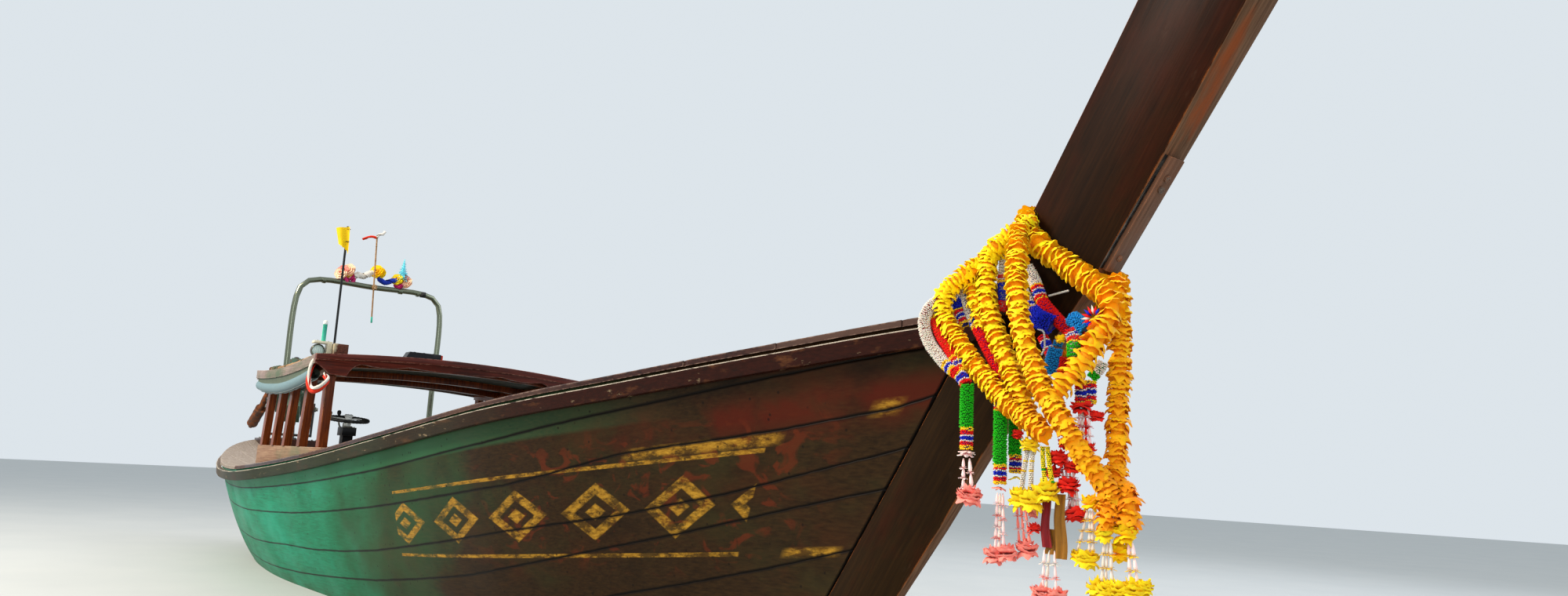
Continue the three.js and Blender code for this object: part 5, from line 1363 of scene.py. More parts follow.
def garlands():
    ropes = Heap()
    for k, route in enumerate(garland["ropes"]):
        wide = k == 4
        flowerRope(ropes, route, garland["ropeRadius"] * (1.08 if wide else 0.82 if k == 3 else 1), 11 + k,
            every=19 if wide else None, lobes=6 if wide else None, flare=0.42 if wide else 0.2)
    flowerRope(ropes, [(5337, -135, 964), (5338, -140, 916), (5336, -140, 868)], 30, 31, flare=0.35)
    flowerRope(ropes, [(5362, -100, 993), (5381, -105, 937), (5378, -105, 880)], 34, 33, flare=0.35)
    gather(ropes, "marigoldRopes", "garland_fabric", flowerFinishes, True, ["garland_flowers"],
        attribute="bloom")
    beads = Heap()
    for make, rows in (
        (budRope, garlandStrings), (tube, garlandTubes), (carnation, garlandBlooms), (star, garlandStars),
    ):
        for row in rows:
            make(beads, *row)
    # a pinwheel of long buds
    for k in range(16):
        angle = 2 * pi * k / 16
        out = Vector((cos(angle), -0.35, sin(angle))).normalized()
        bud(beads, Vector((5.287, -0.130, 1.468)) + out * 0.008, out, 0.034, 0.006,
            (white, scarlet, royal, scarlet)[k % 4], random.Random(k))
    # the tassels' strands, from left to right
    jasmine(beads, (4905, -262, 1045), (4907, -262, 955), pink, [pink], 85)
    jasmine(beads, (4926, -258, 1045), (4938, -258, 958), pink, [pink], 86)
    for k, (x, low) in enumerate(((4990, 778), (5005, 775), (5022, 785))):
        jasmine(beads, (4996 + 8 * k, -207 + 3 * k, 945), (x, -205, low), (pink, white, pink)[k],
            [pink, coral], 95 + k, 5.5)
    for k in range(3):
        jasmine(beads, (5020 + 14 * k, -152, 960), (5036 + 20 * k, -150, 800), coral, [pink, coral],
            105 + k, 5)
    for k, (a, b, low) in enumerate(((5114, 5094, 951), (5134, 5129, 952))):
        budRope(beads, [(a, -215, 1072), ((a + b) / 2, -217, 1010), (b, -215, low)], 8,
            [(0.028, white), (0.003, gold)] * 4, 112 + k)
    for k, (a, b) in enumerate(((5162, 5172), (5180, 5198))):
        budRope(beads, [(a, -205, 1085), ((a + b) / 2, -207, 1035), (b, -205, 985)], 7.5,
            [(0.028, yellow), (0.003, green)] * 3, 114 + k)
    for k in range(4):
        jasmine(beads, (5212 + 8 * k, -142, 968), (5210 + 10 * k, -140, 912), (pink, white)[k % 2],
            [pink, red], 134 + k, 5, 26)
        jasmine(beads, (5240 + 10 * k, -135, 1205), (5236 + 13 * k, -132, 1095), (pink, white, red, pink)[k],
            [pink, red], 138 + k, 5, 28)
        jasmine(beads, (5190 + 14 * k, -155, 1050), (5196 + 12 * k, -150, 1000), (white, pink)[k % 2], [red],
            142 + k, 4.5, 24)
    for k, (x, low) in enumerate(((5140, 672), (5152, 668), (5189, 672))):
        jasmine(beads, (5146 + 18 * k, -170, 790), (x, -170, low), (pink, white, pink)[k],
            [white, coral, pink], 147 + k, 5)
    for k, (x, low) in enumerate(((5240, 792), (5280, 795), (5292, 795))):
        jasmine(beads, (5274 + 8 * k, -140, 912), (x, -140, low), white, [gold], 153 + k, 5, 30)
    for k, (a, b, y) in enumerate(((5331, 5322, -140), (5338, 5330, -135), (5350, 5355, -140),
            (5387, 5393, -110), (5400, 5416, -110))):
        jasmine(beads, (a, y, 830), (b, y, 716), white if k < 3 else pink, [gold], 170 + k, 5.5, 38)
    gather(beads, "beadStringsAndTassels", "garland_fabric", flowerFinishes, True, attribute="bloom")


def ribbon(name, low, high, material, seed, twist=0.0):
    # a satin ribbon that hangs folded lengthwise; its end is cut straight
    rows, columns = 26, 17

    def point(i, j):
        t, s = i / (rows - 1), j / (columns - 1)
        x = low[0] + (high[0] - low[0]) * s + twist * t
        fold = 5.0 * sin(s * 10.5 + seed + 0.8 * t) * (0.35 + 0.65 * t) + 2.5 * sin(5 * t + seed + s * 2)
        return Vector((x + 2.5 * sin(7 * t + seed), (low[1] + high[1]) / 2 + fold,
            high[2] + (low[2] - high[2]) * t)) / 1000

    made = piece(name, *grid(rows, columns, point), "hull", "garland_fabric", [material])
    flat = sum((point(13, j + 1) - point(13, j)).length for j in range(columns - 1))


garlands()
ribbon("ribbonDarkRed", (5138, -184, 797), (5176, -178, 948), redSatin, 0.4, 4)
ribbon("ribbonGoldBrown", (5182, -176, 768), (5222, -170, 952), goldSatin, 2.1, 2)
ribbon("ribbonGoldTail", (5150, -170, 778), (5190, -166, 850), goldSatin, 4.4, 0)
print("garlands hung")


# stem cover strip
def stemStrip():
    out = Vector((0.810, 0, -0.586))
    heads = []
    for x, z in ((5.441, 1.897), (5.420, 1.868), (5.276, 1.678)):
        seat = Vector((x, -0.004, z)) + out * 0.0145
        heads.append(turning(seat - out * 0.004, out, [(0, 0.011), (0.0052, 0.011), (0.0062, 0.0095)], 16))
        heads.append(turning(seat, out, [(0, 0.0066), (0.0045, 0.0062), (0.006, 0.004)], 12))
    fitting("stripBolts", "dark_steel", [hotSteel], heads)
    # a thin black strip along the cover strip's starboard side stands for the shadow in the gap beside it:
    # painted shade
    edge = ((-0.0455, 0.0), (-0.0455, 0.0042), (-0.0345, 0.0042), (-0.0345, 0.0))

    def gapShadePoint(t, k):
        p = Vector((5.244, 0, 1.642)) + (Vector((5.470, 0, 1.953)) - Vector((5.244, 0, 1.642))) * t / 11
        return p + out * (edge[k][1] + 0.0008 * noise((t * 0.9, 0, 0))) + Vector((0, edge[k][0], 0))

    fitting("stripShadowGap", "dark_plastic", [blackRubber], [grid(12, 4, gapShadePoint, True, True)])


stemStrip()


# rain curtains, rolled and strapped under the roof's edge
curtain = {  # metres; the flat cloth is 1.58 long and about 0.75 wide
    "stages": [(-1880, 1448), (-1650, 1422), (-1150, 1405), (-700, 1428), (-300, 1470)],
    "y": 0.923, "turns": 6.0, "inner": 0.006, "outer": 0.0345, "straps": (-1700, -1150, -500),
}


def rainCurtain(name, side):
    path = smoothPath([(x / 1000, side * curtain["y"], z / 1000) for x, z in curtain["stages"]], 0.024)
    perTurn = 16
    columns = int(curtain["turns"] * perTurn) + 1
    points, rows = [], len(path)
    for i, p in enumerate(path):
        tight = 1.0
        for strap in curtain["straps"]:
            tight -= 0.06 * exp(-((p.x * 1000 - strap) / 90) ** 2)
        end = min(i, rows - 1 - i) / 6
        flare = 1 + 0.1 * max(0, 1 - end)
        for j in range(columns):
            share = j / (columns - 1)
            angle = 2 * pi * (curtain["turns"] * share)
            ripple = 1 + 0.05 * share * noise((p.x * 9, cos(angle) * 1.5, sin(angle) * 1.5 + side))
            r = (curtain["inner"] + (curtain["outer"] - curtain["inner"]) * share) * tight * flare * ripple
            # the loose end comes off the bottom of the roll on its outboard side
            turn = angle - 2 * pi * (curtain["turns"] % 1) - radians(100)
            q = Vector((p.x, p.y + side * cos(turn) * r, p.z + sin(turn) * r))
            if j > columns - 4:
                q.z -= 0.004 * (j - columns + 4) + 0.0015 * sin(p.x * 40)
            points.append(q)
    faces = [quad[::side] for quad in gridFaces(rows, columns)]
    finish = [1 if j > columns - 4 else 2 if i < 2 or i > rows - 4 else 0 for i in range(rows - 1)
        for j in range(columns - 1)]
    roll = piece(f"rainCurtain_{name}", points, faces, "hull", "curtain_fabric",
        [curtainCloth, hemCloth, gussetCloth],
        faceMaterials=finish, replaces=[f"rain_curtain_{name}"])
    straps = Heap()
    for x in curtain["straps"]:
        centre = min(path, key=lambda p: abs(p.x * 1000 - x))
        top = (roofTop(x, roof["half"]) - 58) / 1000
        loop = []
        for k in range(25):
            angle = radians(90 - 15 * k)
            loop.append((centre.y + side * cos(angle) * 0.0325, centre.z + sin(angle) * 0.0325))
        loop += [(side * 0.9462, centre.z + 0.02), (side * 0.9462, top)]
        rows = []
        for k, (y, z) in enumerate(loop):
            a, b = loop[max(k - 1, 0)], loop[min(k + 1, len(loop) - 1)]
            flow = Vector((0, b[0] - a[0], b[1] - a[1])).normalized()
            square = Vector((0, -flow.z, flow.y)) * 0.0009
            mid = Vector((x / 1000, y, z))
            w = Vector((0.014, 0, 0))
            rows.append([mid - w - square, mid + w - square, mid + w + square, mid - w + square])
        straps.loft(rows)
    gather(straps, f"curtainStraps_{name}", "curtain_fabric", [gussetCloth])


def curtainCover(name, side):
    # the cloth comes down from the roof's edge and lies over the roll, as far as its pale hem
    path = smoothPath([(x / 1000, side * curtain["y"], z / 1000) for x, z in curtain["stages"]], 0.03)
    turns = [48, 30, 12, -6, -24, -42, -58, -72, -80]

    def point(i, j):
        p = path[i]
        top = (roofTop(p.x * 1000, roof["half"]) - 34) / 1000
        over = curtain["outer"] + 0.0045 + 0.0012 * noise((p.x * 4, j * 0.3, side))
        if j > 2:
            angle = radians(turns[j - 3])
            return Vector((p.x, p.y + side * cos(angle) * over, p.z + sin(angle) * over))
        low = p.z + sin(radians(turns[0])) * over
        share = j / 3
        return Vector((p.x, side * (0.9468 + 0.001 * sin(p.x * 14) * share), top + (low - top) * share))

    points, faces = grid(len(path), 3 + len(turns), point)
    faces = [face[::-side] for face in faces]
    columns = 2 + len(turns)
    finish = [2 if k % columns < 3 else 1 if k % columns == columns - 1 else 0 for k in range(len(faces))]
    cover = piece(f"curtainCover_{name}", points, faces, "hull", "curtain_fabric",
        [curtainCloth, hemCloth, gussetCloth], faceMaterials=finish)


for make in (rainCurtain, curtainCover):
    make("starboard", -1)
    make("port", 1)


# flag, sash and swag
def clothBand(name, route, width, material, slot, held, rests, turns=0.0, curl=1.1, body="hull", replaces=(),
        seed=0.0, first=0.0):
    # a strip of cloth that is bunched across its width and may twist along its length
    path = smoothPath(metres(route), 0.012)
    columns = 11
    radius = width / (2 * pi * curl)
    rows = frames(path)

    def point(i, j):
        p, _, u, v = rows[i]
        share = j / (columns - 1) - 0.5
        angle = 2 * pi * (curl * share + turns * i / (len(rows) - 1)) + first
        r = radius * (0.75 + 0.5 * (j / (columns - 1)) + 0.16 * noise((i * 0.22, j * 0.5, seed)))
        return p + around(u, v, angle) * r

    points, faces = grid(len(rows), columns, point)
    band = piece(name, points, faces, body, slot, [material], replaces=replaces)
    across = sum((points[k + 1] - points[k]).length for k in range(columns - 1))
    mid = len(rows) // 2 * columns
    across = (across + sum((points[mid + k + 1] - points[mid + k]).length for k in range(columns - 1))) / 2
    length = sum((b - a).length for a, b in zip(path, path[1:]))
    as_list(rests)
    return band


def hoistFlag():
    # limp in still air: it hangs in folds across the head of its pole
    columns, rows = 25, 25
    hoist = Vector((-0.4182, -0.804, 2.508))
    away = Vector((cos(0.9), sin(0.9), 0))
    square = Vector((-away.y, away.x, 0))
    foot = [(0.0, -0.186), (0.1, -0.168), (0.45, -0.142), (0.7, -0.128), (1.0, -0.118)]

    def point(i, j):
        u, v = j / (columns - 1), i / (rows - 1)
        top = 0.006 - 0.012 * u
        drop = top + (between(foot, u) - 0.003 * sin(u * 30) - top) * v
        along = 0.031 - 0.094 * u * (1 - 0.18 * v) + 0.006 * v
        fold = (0.009 + 0.003 * v) * sin(u * 6.2 + 0.5 + v * 0.6) + 0.002 * sin(v * 5 + u * 4)
        return hoist + away * along + Vector((0, 0, drop)) + square * (fold - 0.028 + 0.006 * v)

    points, faces = grid(rows, columns, point)
    cloth = piece("flagCloth", points, faces, "hull", "flag_fabric", [flagCloth], replaces=["flag"])
    rings = [[hoist + Vector((0.0382 + 0.012 * cos(a), 0.004 + 0.012 * sin(a), -drop)) for a in circle(12, 1)]
        for drop in (0.012, 0.1)]
    fitting("flagTies", "dark_plastic", [blackRubber], [pipe(ring, 0.0015, 6) for ring in rings], smooth=True)


hoistFlag()


# the sash on the fore post: red, white and gold bands knotted under the roof's corner
sashRoute = [(-262, -934, 1560), (-258, -958, 1500), (-250, -966, 1440), (-236, -962, 1390),
    (-205, -952, 1352), (-160, -935, 1350),
    (-128, -905, 1376), (-150, -870, 1420), (-200, -880, 1450)]
swagX = -2474  # swag of twisted cloth and silk flowers on the stern arch
swagRoutes = [
    ((-4, -215, 2505), (-4, -180, 2500), (-4, -140, 2530), (-4, -90, 2524), (-4, -40, 2562), (-4, 0, 2572)),
    ((4, 20, 2560), (4, 60, 2512), (4, 110, 2496), (4, 160, 2520), (4, 200, 2530)),
    ((2, -262, 2492), (2, -232, 2455), (2, -205, 2440), (2, -180, 2462), (2, -176, 2494)),
    ((40, -36, 2880), (38, -70, 2885), (36, -110, 2872), (34, -150, 2850)),
    ((40, -30, 2886), (42, -8, 2915), (38, 14, 2922), (36, 36, 2952)),
]
for name, route, width, material, held, rests, turns, curl, more in (
    ("postSashRed", sashRoute, 0.075, scarletSash, "draped", "canopy_frame", 1.6, 0.8, {"seed": 1.0}),
    ("postSashWhite", [(x + 14, y - 4, z + 18) for x, y, z in sashRoute], 0.055, whiteSash, "draped",
    "canopy_frame", 2.1, 0.8,
     {"seed": 3.0, "first": 2.0}),
    ("postSashGold", [(x - 12, y + 5, z - 12) for x, y, z in sashRoute[2:7]], 0.035, goldSatin, "draped",
    "canopy_frame",
     1.2, 0.8, {"seed": 5.0, "first": 4.0}),
    ("swagWhite", swagRoutes[0], 0.2, whiteSash, "gathered", "stern_arch", 2.4, 1.2,
    {"seed": 7.0, "replaces": ["arch_swag"]}),
    ("swagBlue", swagRoutes[1], 0.17, blueSash, "gathered", "stern_arch", 1.4, 1.2, {"seed": 8.0}),
    ("swagMagenta", swagRoutes[2], 0.13, magentaSash, "gathered", "stern_arch", 0.8, 1.1, {"seed": 9.0}),
    ("archRibbonRed", swagRoutes[3], 0.06, scarletSash, "hung", "arch_cane", 0.9, 0.9, {"seed": 10.0}),
    ("archRibbonWhite", swagRoutes[4], 0.07, whiteSash, "hung", "arch_cane", 1.1, 0.9, {"seed": 11.0}),
):
    if route in swagRoutes:
        route = [(swagX + x, y, z) for x, y, z in route]
    clothBand(name, route, width, material, "sash_fabric", held, [rests], turns, curl, **more)


def silkFlowers():
    heap = Heap()
    finishes = [marigold, coralPetal, magentaSash, yellowPetal, peach, turquoise, greenBud]
    blooms = [  # y, z, radius and finish
        (-285, 2520, 0.048, 4), (-270, 2548, 0.042, 1), (-225, 2558, 0.050, 4), (-222, 2530, 0.036, 3),
        (-205, 2502, 0.034, 2), (18, 2582, 0.052, 0), (46, 2570, 0.046, 3), (30, 2556, 0.026, 2),
        (206, 2540, 0.046, 3), (246, 2516, 0.044, 4), (282, 2524, 0.050, 4), (226, 2496, 0.040, 2),
        (262, 2556, 0.036, 1),
    ]
    for k, (y, z, radius, finish) in enumerate(blooms):
        chance = random.Random(200 + k)
        facing = Vector((0.75, -0.6, 0.28)).normalized()
        u = facing.orthogonal().normalized()
        at = Vector((swagX, y, z)) / 1000
        for ring in range(8):  # a puff of ruffled rings
            share = ring / 7
            wide = radius * (0.4 + 0.85 * sin(pi * share))
            frill(heap, at + facing * radius * 1.2 * (share - 0.5), facing, u, facing.cross(u), wide, 0.004,
                7, finish, chance, 0.1, 0.5 * (share - 0.5))
    # cone of pleated cloth rings on the cane's port side
    for k in range(15):
        share = k / 14
        chance = random.Random(300 + k)
        at = Vector((swagX / 1000, 0.247 + 0.003 * share, 2.548 + 0.186 * share))
        flowerHead(heap, at, down, eastward, northward, 0.052 * (1 - share) + 0.008, 9, 5, chance, 0.1, 0.5)
    heap.add(*turning((swagX / 1000, 0.247, 2.54), (0, 0.015, 1), [(0, 0.03), (0.1, 0.016), (0.198, 0.003)],
        12), finish=5)
    gather(heap, "silkFlowers", "sash_fabric", finishes, True, attribute="bloom")


silkFlowers()


def archFittings():
    x, top, radius = -2.474, 2.435, 0.024
    across = (0, 1, 0)
    fitting("archSleeves", "stainless_tube", [stainless], [
        turning((x, y - half, top), across, [(0, radius), (0.001, radius + extra),
        (2 * half - 0.001, radius + extra),
            (2 * half, radius)]) for y, half, extra in ((0.243, 0.018, 0.0012), (0.40, 0.012, 0.002),
            (-0.42, 0.014, 0.0012))])
    fitting("archTape", "dark_plastic", [blackRubber], [turning((x, 0.425, top), across,
        [(0, radius), (0.001, radius + 0.0022), (0.045, radius + 0.0026), (0.046, radius)])], smooth=True)
    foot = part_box("stern_arch")[0].z
    feet = []
    for side in (-1, 1):
        feet += bolts([(x + dx, side * 0.634 + dy, foot + 0.0098) for dx, dy in fourSpots(0.045, 0.045)],
            upward, 0.013)
        feet.append(turning((x, side * 0.634, foot + 0.010), upward,
            [(0, 0.031), (0.004, 0.028), (0.008, 0.0245)], 20))
    fitting("archFootBolts", "dark_steel", [zinc], feet)
    cord = []
    for k in range(9):
        z, thick = top - 0.02 + 0.0046 * k, 0.012 + 0.004 * sin(k * 2.1)
        cord.append(pipe([Vector((x + 0.018 + 0.047 * cos(a), 0.005 + thick * sin(a),
            z + 0.0035 * cos(a * 2 + k)))
            for a in circle(16, 1)], 0.0022, 6))
    fitting("caneLashing", "bamboo", [caneWood], cord, smooth=True)
    caneX, lean = x + 0.040, (0, -0.05, 1)
    fitting("caneTip", "bamboo", [greenEnamel], [turning((caneX, 0.0103, 2.111), lean,
        [(0, 0.004), (0.003, 0.0082), (0.05, 0.0082), (0.054, 0.0074)], 14)], smooth=True)
    fitting("caneKnots", "bamboo", [caneWood],
        [turning((caneX, 0.010 - 0.040 * share, 2.113 + 0.787 * share), lean,
        [(-0.003, 0.0072), (0, 0.0086), (0.003, 0.0072)], 14) for share in (0.18, 0.37, 0.55, 0.72, 0.88)],
        smooth=True)


archFittings()


# things on the roof
def lampAndTube():
    centre, ahead = Vector((-0.410, -0.895, 1.634)), (1, 0, 0)
    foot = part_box("roof_lamp")[0].z
    shadeByAngle(fitting("lampShell", "dark_steel", [darkSteel], [
        turning(centre, ahead, [(-0.050, 0.004), (-0.0495, 0.018), (-0.046, 0.0265), (-0.036, 0.036),
        (-0.015, 0.0445),
            (0.0, 0.0455), (0.004, 0.0462), (0.010, 0.0462), (0.0135, 0.0435), (0.0135, 0.0395),
            (0.007, 0.0385), (0.006, 0.01)], 36),
        block((-0.432, -0.909, foot + 0.0002), (-0.418, -0.882, 1.600), bevel=0.002),
        hexBolt((-0.425, -0.9085, 1.594), (0, -1, 0), 0.010),
    ], replaces=["roof_lamp"]), 35)
    fitting("lampLens", "lamp_glass", [lens], [turning(centre, ahead,
        [(0.0065, 0.0385), (0.009, 0.036), (0.0125, 0.024), (0.0138, 0.01), (0.0139, 0.001)], 36)],
        smooth=True)
    ring = [centre + Vector((0.0128, 0.0415 * cos(a), 0.0415 * sin(a))) for a in circle(40, 1)]
    fitting("lampRim", "stainless_tube", [stainless], [pipe(ring, 0.0022, 8)], smooth=True)
    profile = [(0, 0.0146), (0.006, 0.0152), (0.010, 0.0146), (0.118, 0.0146), (0.119, 0.0154),
        (0.134, 0.0152),
        (0.143, 0.011), (0.1465, 0.002)]
    heap = Heap()
    heap.add(*turning((-0.410, -0.866, 1.7002), upward, profile, 28))
    # white above and on the aft half, green forward and low: white paint at the cap, and on the aft half a
    # painted highlight on the side towards the light
    for place, face in enumerate(heap.faces):
        mid = sum((Vector(heap.points[k]) for k in face), Vector()) / len(face)
        heap.finish[place] = int(mid.x > -0.407 and mid.z < 1.815)
    gather(heap, "signalTube", "cream_paint", [whiteEnamel, greenEnamel], True)
    places = [(x, y, 1.7002) for y in (-0.905, -0.835) for x in (-0.395, -0.428)]
    fitting("bracketBolts", "dark_steel", [zinc], bolts(places, upward, 0.009))


lampAndTube()


def roofBox():
    low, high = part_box("roof_box")
    points, faces = block((low.x + 0.001, low.y + 0.001, low.z + 0.0002),
        (high.x - 0.001, high.y - 0.012, high.z + 0.012),
        bevel=0.004)
    lean = [Vector((p.x, p.y + (0.055 * clamp((p.z - low.z) / (high.z - low.z)) if p.y < low.y + 0.02 else 0),
        p.z))
        for p in points]
    ribs = [low.y + 0.09 + 0.07 * k for k in range(3)]
    fitting("roofBoxShell", "dark_plastic", [boxPlastic], [(lean, faces)] + [
        block((low.x + 0.012, y, high.z + 0.0118), (high.x - 0.012, y + 0.012, high.z + 0.0148), bevel=0.001)
        for y in ribs
    ], replaces=["roof_box"])
    fitting("roofBoxEdge", "dark_plastic", [redPlastic],
        [block((low.x, high.y - 0.0118, low.z + 0.001), (high.x, high.y, high.z + 0.008), bevel=0.003)])


roofBox()


def roofPole():
    # a bamboo pole tied along the roof's edge, split and wrapped in rag at its aft end
    route = [(x, -915, roofTop(x, 890) + 12.5) for x in (-1560, -1250, -900, -700, -500)]
    path = smoothPath(metres(route), 0.014)

    def radius(share):
        ring = sum(0.0035 * exp(-((share - n) / 0.006) ** 2) for n in (0.16, 0.36, 0.57, 0.79))
        lump = 0.004 * max(0, 1 - share / 0.14) * (1 + noise((share * 60, 2, 1)))
        return 0.0165 + ring + lump

    fitting("roofPole", "bamboo", [caneWood], [pipe(path, radius, 18)], smooth=True,
        replaces=["roof_edge_pole"])
    rag = []
    for k in range(7):
        loop = [path[2 + k * 2] + Vector((0.004 * sin(a * 2 + k), 0.0195 * cos(a), 0.0195 * sin(a)))
            for a in circle(18, 1)]
        rag.append(pipe(loop, 0.0035 + 0.0012 * sin(k * 2.3), 7))
    for share in (0.42, 0.85):
        p = path[int(share * (len(path) - 1))]
        rag += [pipe([p + Vector((-0.006 + 0.004 * k, 0.0185 * cos(a), 0.0185 * sin(a)))
            for a in circle(18, 1)],
            0.0019, 6) for k in range(4)]
    fitting("poleLashings", "bamboo", [gussetCloth], rag, smooth=True)


roofPole()


# helm
helm = {"at": (-0.610, -0.585, 1.192), "tilt": 8, "radius": 0.132}


def helmWheel():
    tilt = radians(helm["tilt"])
    turn = Matrix.Translation(helm["at"]) @ Matrix.Rotation(tilt, 4, "Y")
    rim = Heap()
    big = helm["radius"]

    def ringPoint(i, j):
        a, b = 2 * pi * i / 96, 2 * pi * j / 14
        grip = 0.0118 + (0.0011 * cos(32 * a) if cos(b) < 0.3 else 0)
        r = big + grip * cos(b)
        return turn @ Vector((r * cos(a), r * sin(a), grip * sin(b)))

    faces = [[k % (96 * 14) for k in (face[0], *face[:0:-1])] for face in gridFaces(97, 14, True)]
    rim.add([ringPoint(i, j) for i in range(96) for j in range(14)], faces)
    at = lambda *p: turn @ Vector(p)
    for k in range(3):
        angle = 2 * pi * k / 3
        out = Vector((cos(angle), sin(angle), 0))
        side = Vector((-out.y, out.x, 0))
        rows = []
        for share in (0.15, 0.3, 0.5, 0.7, 0.85, 0.97):
            mid = out * big * share
            w, h = 0.013 - 0.006 * share, 0.0048
            rows.append([turn @ (mid + side * a * w + Vector((0, 0, b * h + 0.002 * sin(share * 3)))) for a,
                b in ((-1, -0.6), (1, -0.6),
                (1, 0.2), (0.5, 1), (-0.5, 1), (-1, 0.2))])
        rim.loft(rows, 1)
    axis = turn.to_3x3() @ upward
    rim.add(*turning(at(0, 0, -0.0452), axis, [(0, 0.022), (0.02, 0.0235), (0.062, 0.0235), (0.067, 0.0295),
        (0.0745, 0.0295), (0.079, 0.024),
        (0.0795, 0.006)], 32), finish=1)
    for a in circle(6):
        rim.add(*hexBolt(at(0.021 * cos(a), 0.021 * sin(a), 0.0335), axis, 0.005), finish=2)
    rim.add(*turning(at(0, -big, 0.006), axis, [(0, 0.006), (0.006, 0.0065), (0.008, 0.0125), (0.018, 0.0175),
        (0.034, 0.019), (0.043, 0.014),
        (0.0458, 0.004)], 24))
    made = gather(rim, "helmWheelRim", "wheel_rubber", [blackRubber, whiteEnamel, zinc], False,
        ["helm_wheel"], "helm")
    shadeByAngle(made, 40)
    x, y, z = helm["at"]
    spots = fourSpots(0.042, 0.034)
    fitting("pedestalBolts", "dark_steel", [zinc], [
        *bolts([(x + dx, y + dy, 1.1362) for dx, dy in spots], upward, 0.010),
        *bolts([(x + 0.0502, y + 0.0775 + dy, 0.40 + dx * 6) for dx, dy in spots], eastward, 0.012),
        turning((x + 0.004, y, 1.1362), axis, [(0, 0.036), (0.006, 0.034), (0.009, 0.029)], 28),
    ])


def throttleLever():
    # a bent lever on an arm that passes below the wheel and comes up outside its rim
    x, y, z = helm["at"]
    route = [(-0.06, 0, -0.056), (-0.15, -0.004, -0.06), (-0.186, -0.01, -0.03), (-0.188, -0.013, 0.012),
        (-0.194, -0.014, 0.036)]
    fitting("throttleLever", "dark_plastic", [blackRubber, zinc], [
        (*block((x - 0.075, y - 0.016, z - 0.07), (x - 0.047, y + 0.016, z - 0.024)), 1),
        (*pipe(smoothPath([(x + a, y + b, z + c) for a, b, c in route], 0.006), 0.0065, 10), 1),
        turning((x - 0.193, y - 0.014, z + 0.03), (-0.2, 0, 1),
            [(0, 0.007), (0.008, 0.012), (0.022, 0.015), (0.034, 0.011), (0.038, 0.004)], 16),
    ], smooth=True)


helmWheel()
throttleLever()
print("roof, arch and helm fitted")


# engine and tail
drive = {  # millimetres in the engine's own frame: X along the crankshaft, the tail towards -X
    "pivot": (-4900, 0, 1066.69), "trunnion": 330, "swing": -15, "drop": -23,
    "headBolts": (150, 245, 345, 445, 540),
    "pulleys": ((0, -30, 78), (0, 130, 60), (222, 40, 42)), "beltX": 624.3, "tube": 38,
    "bands": (-900, -1700, -2500, -3100),
    "muffler": ((-40, -294, -8), (-330, -372, -50), 52), "grip": ((1296, 81, -173.5), (1424, 59, -190.5)),
}
swung = Matrix.Translation(Vector(drive["pivot"]) / 1000) @ Matrix.Rotation(radians(drive["swing"]), 4, "Z")
tipped = swung @ Matrix.Translation((0, 0,
    drive["trunnion"] / 1000)) @ Matrix.Rotation(radians(drive["drop"]), 4, "Y")


def onEngine(x, y, z, turn=tipped):
    return turn @ (Vector((x, y, z)) / 1000)


def wayOf(x, y, z, turn=tipped):
    return turn.to_3x3() @ Vector((x, y, z))


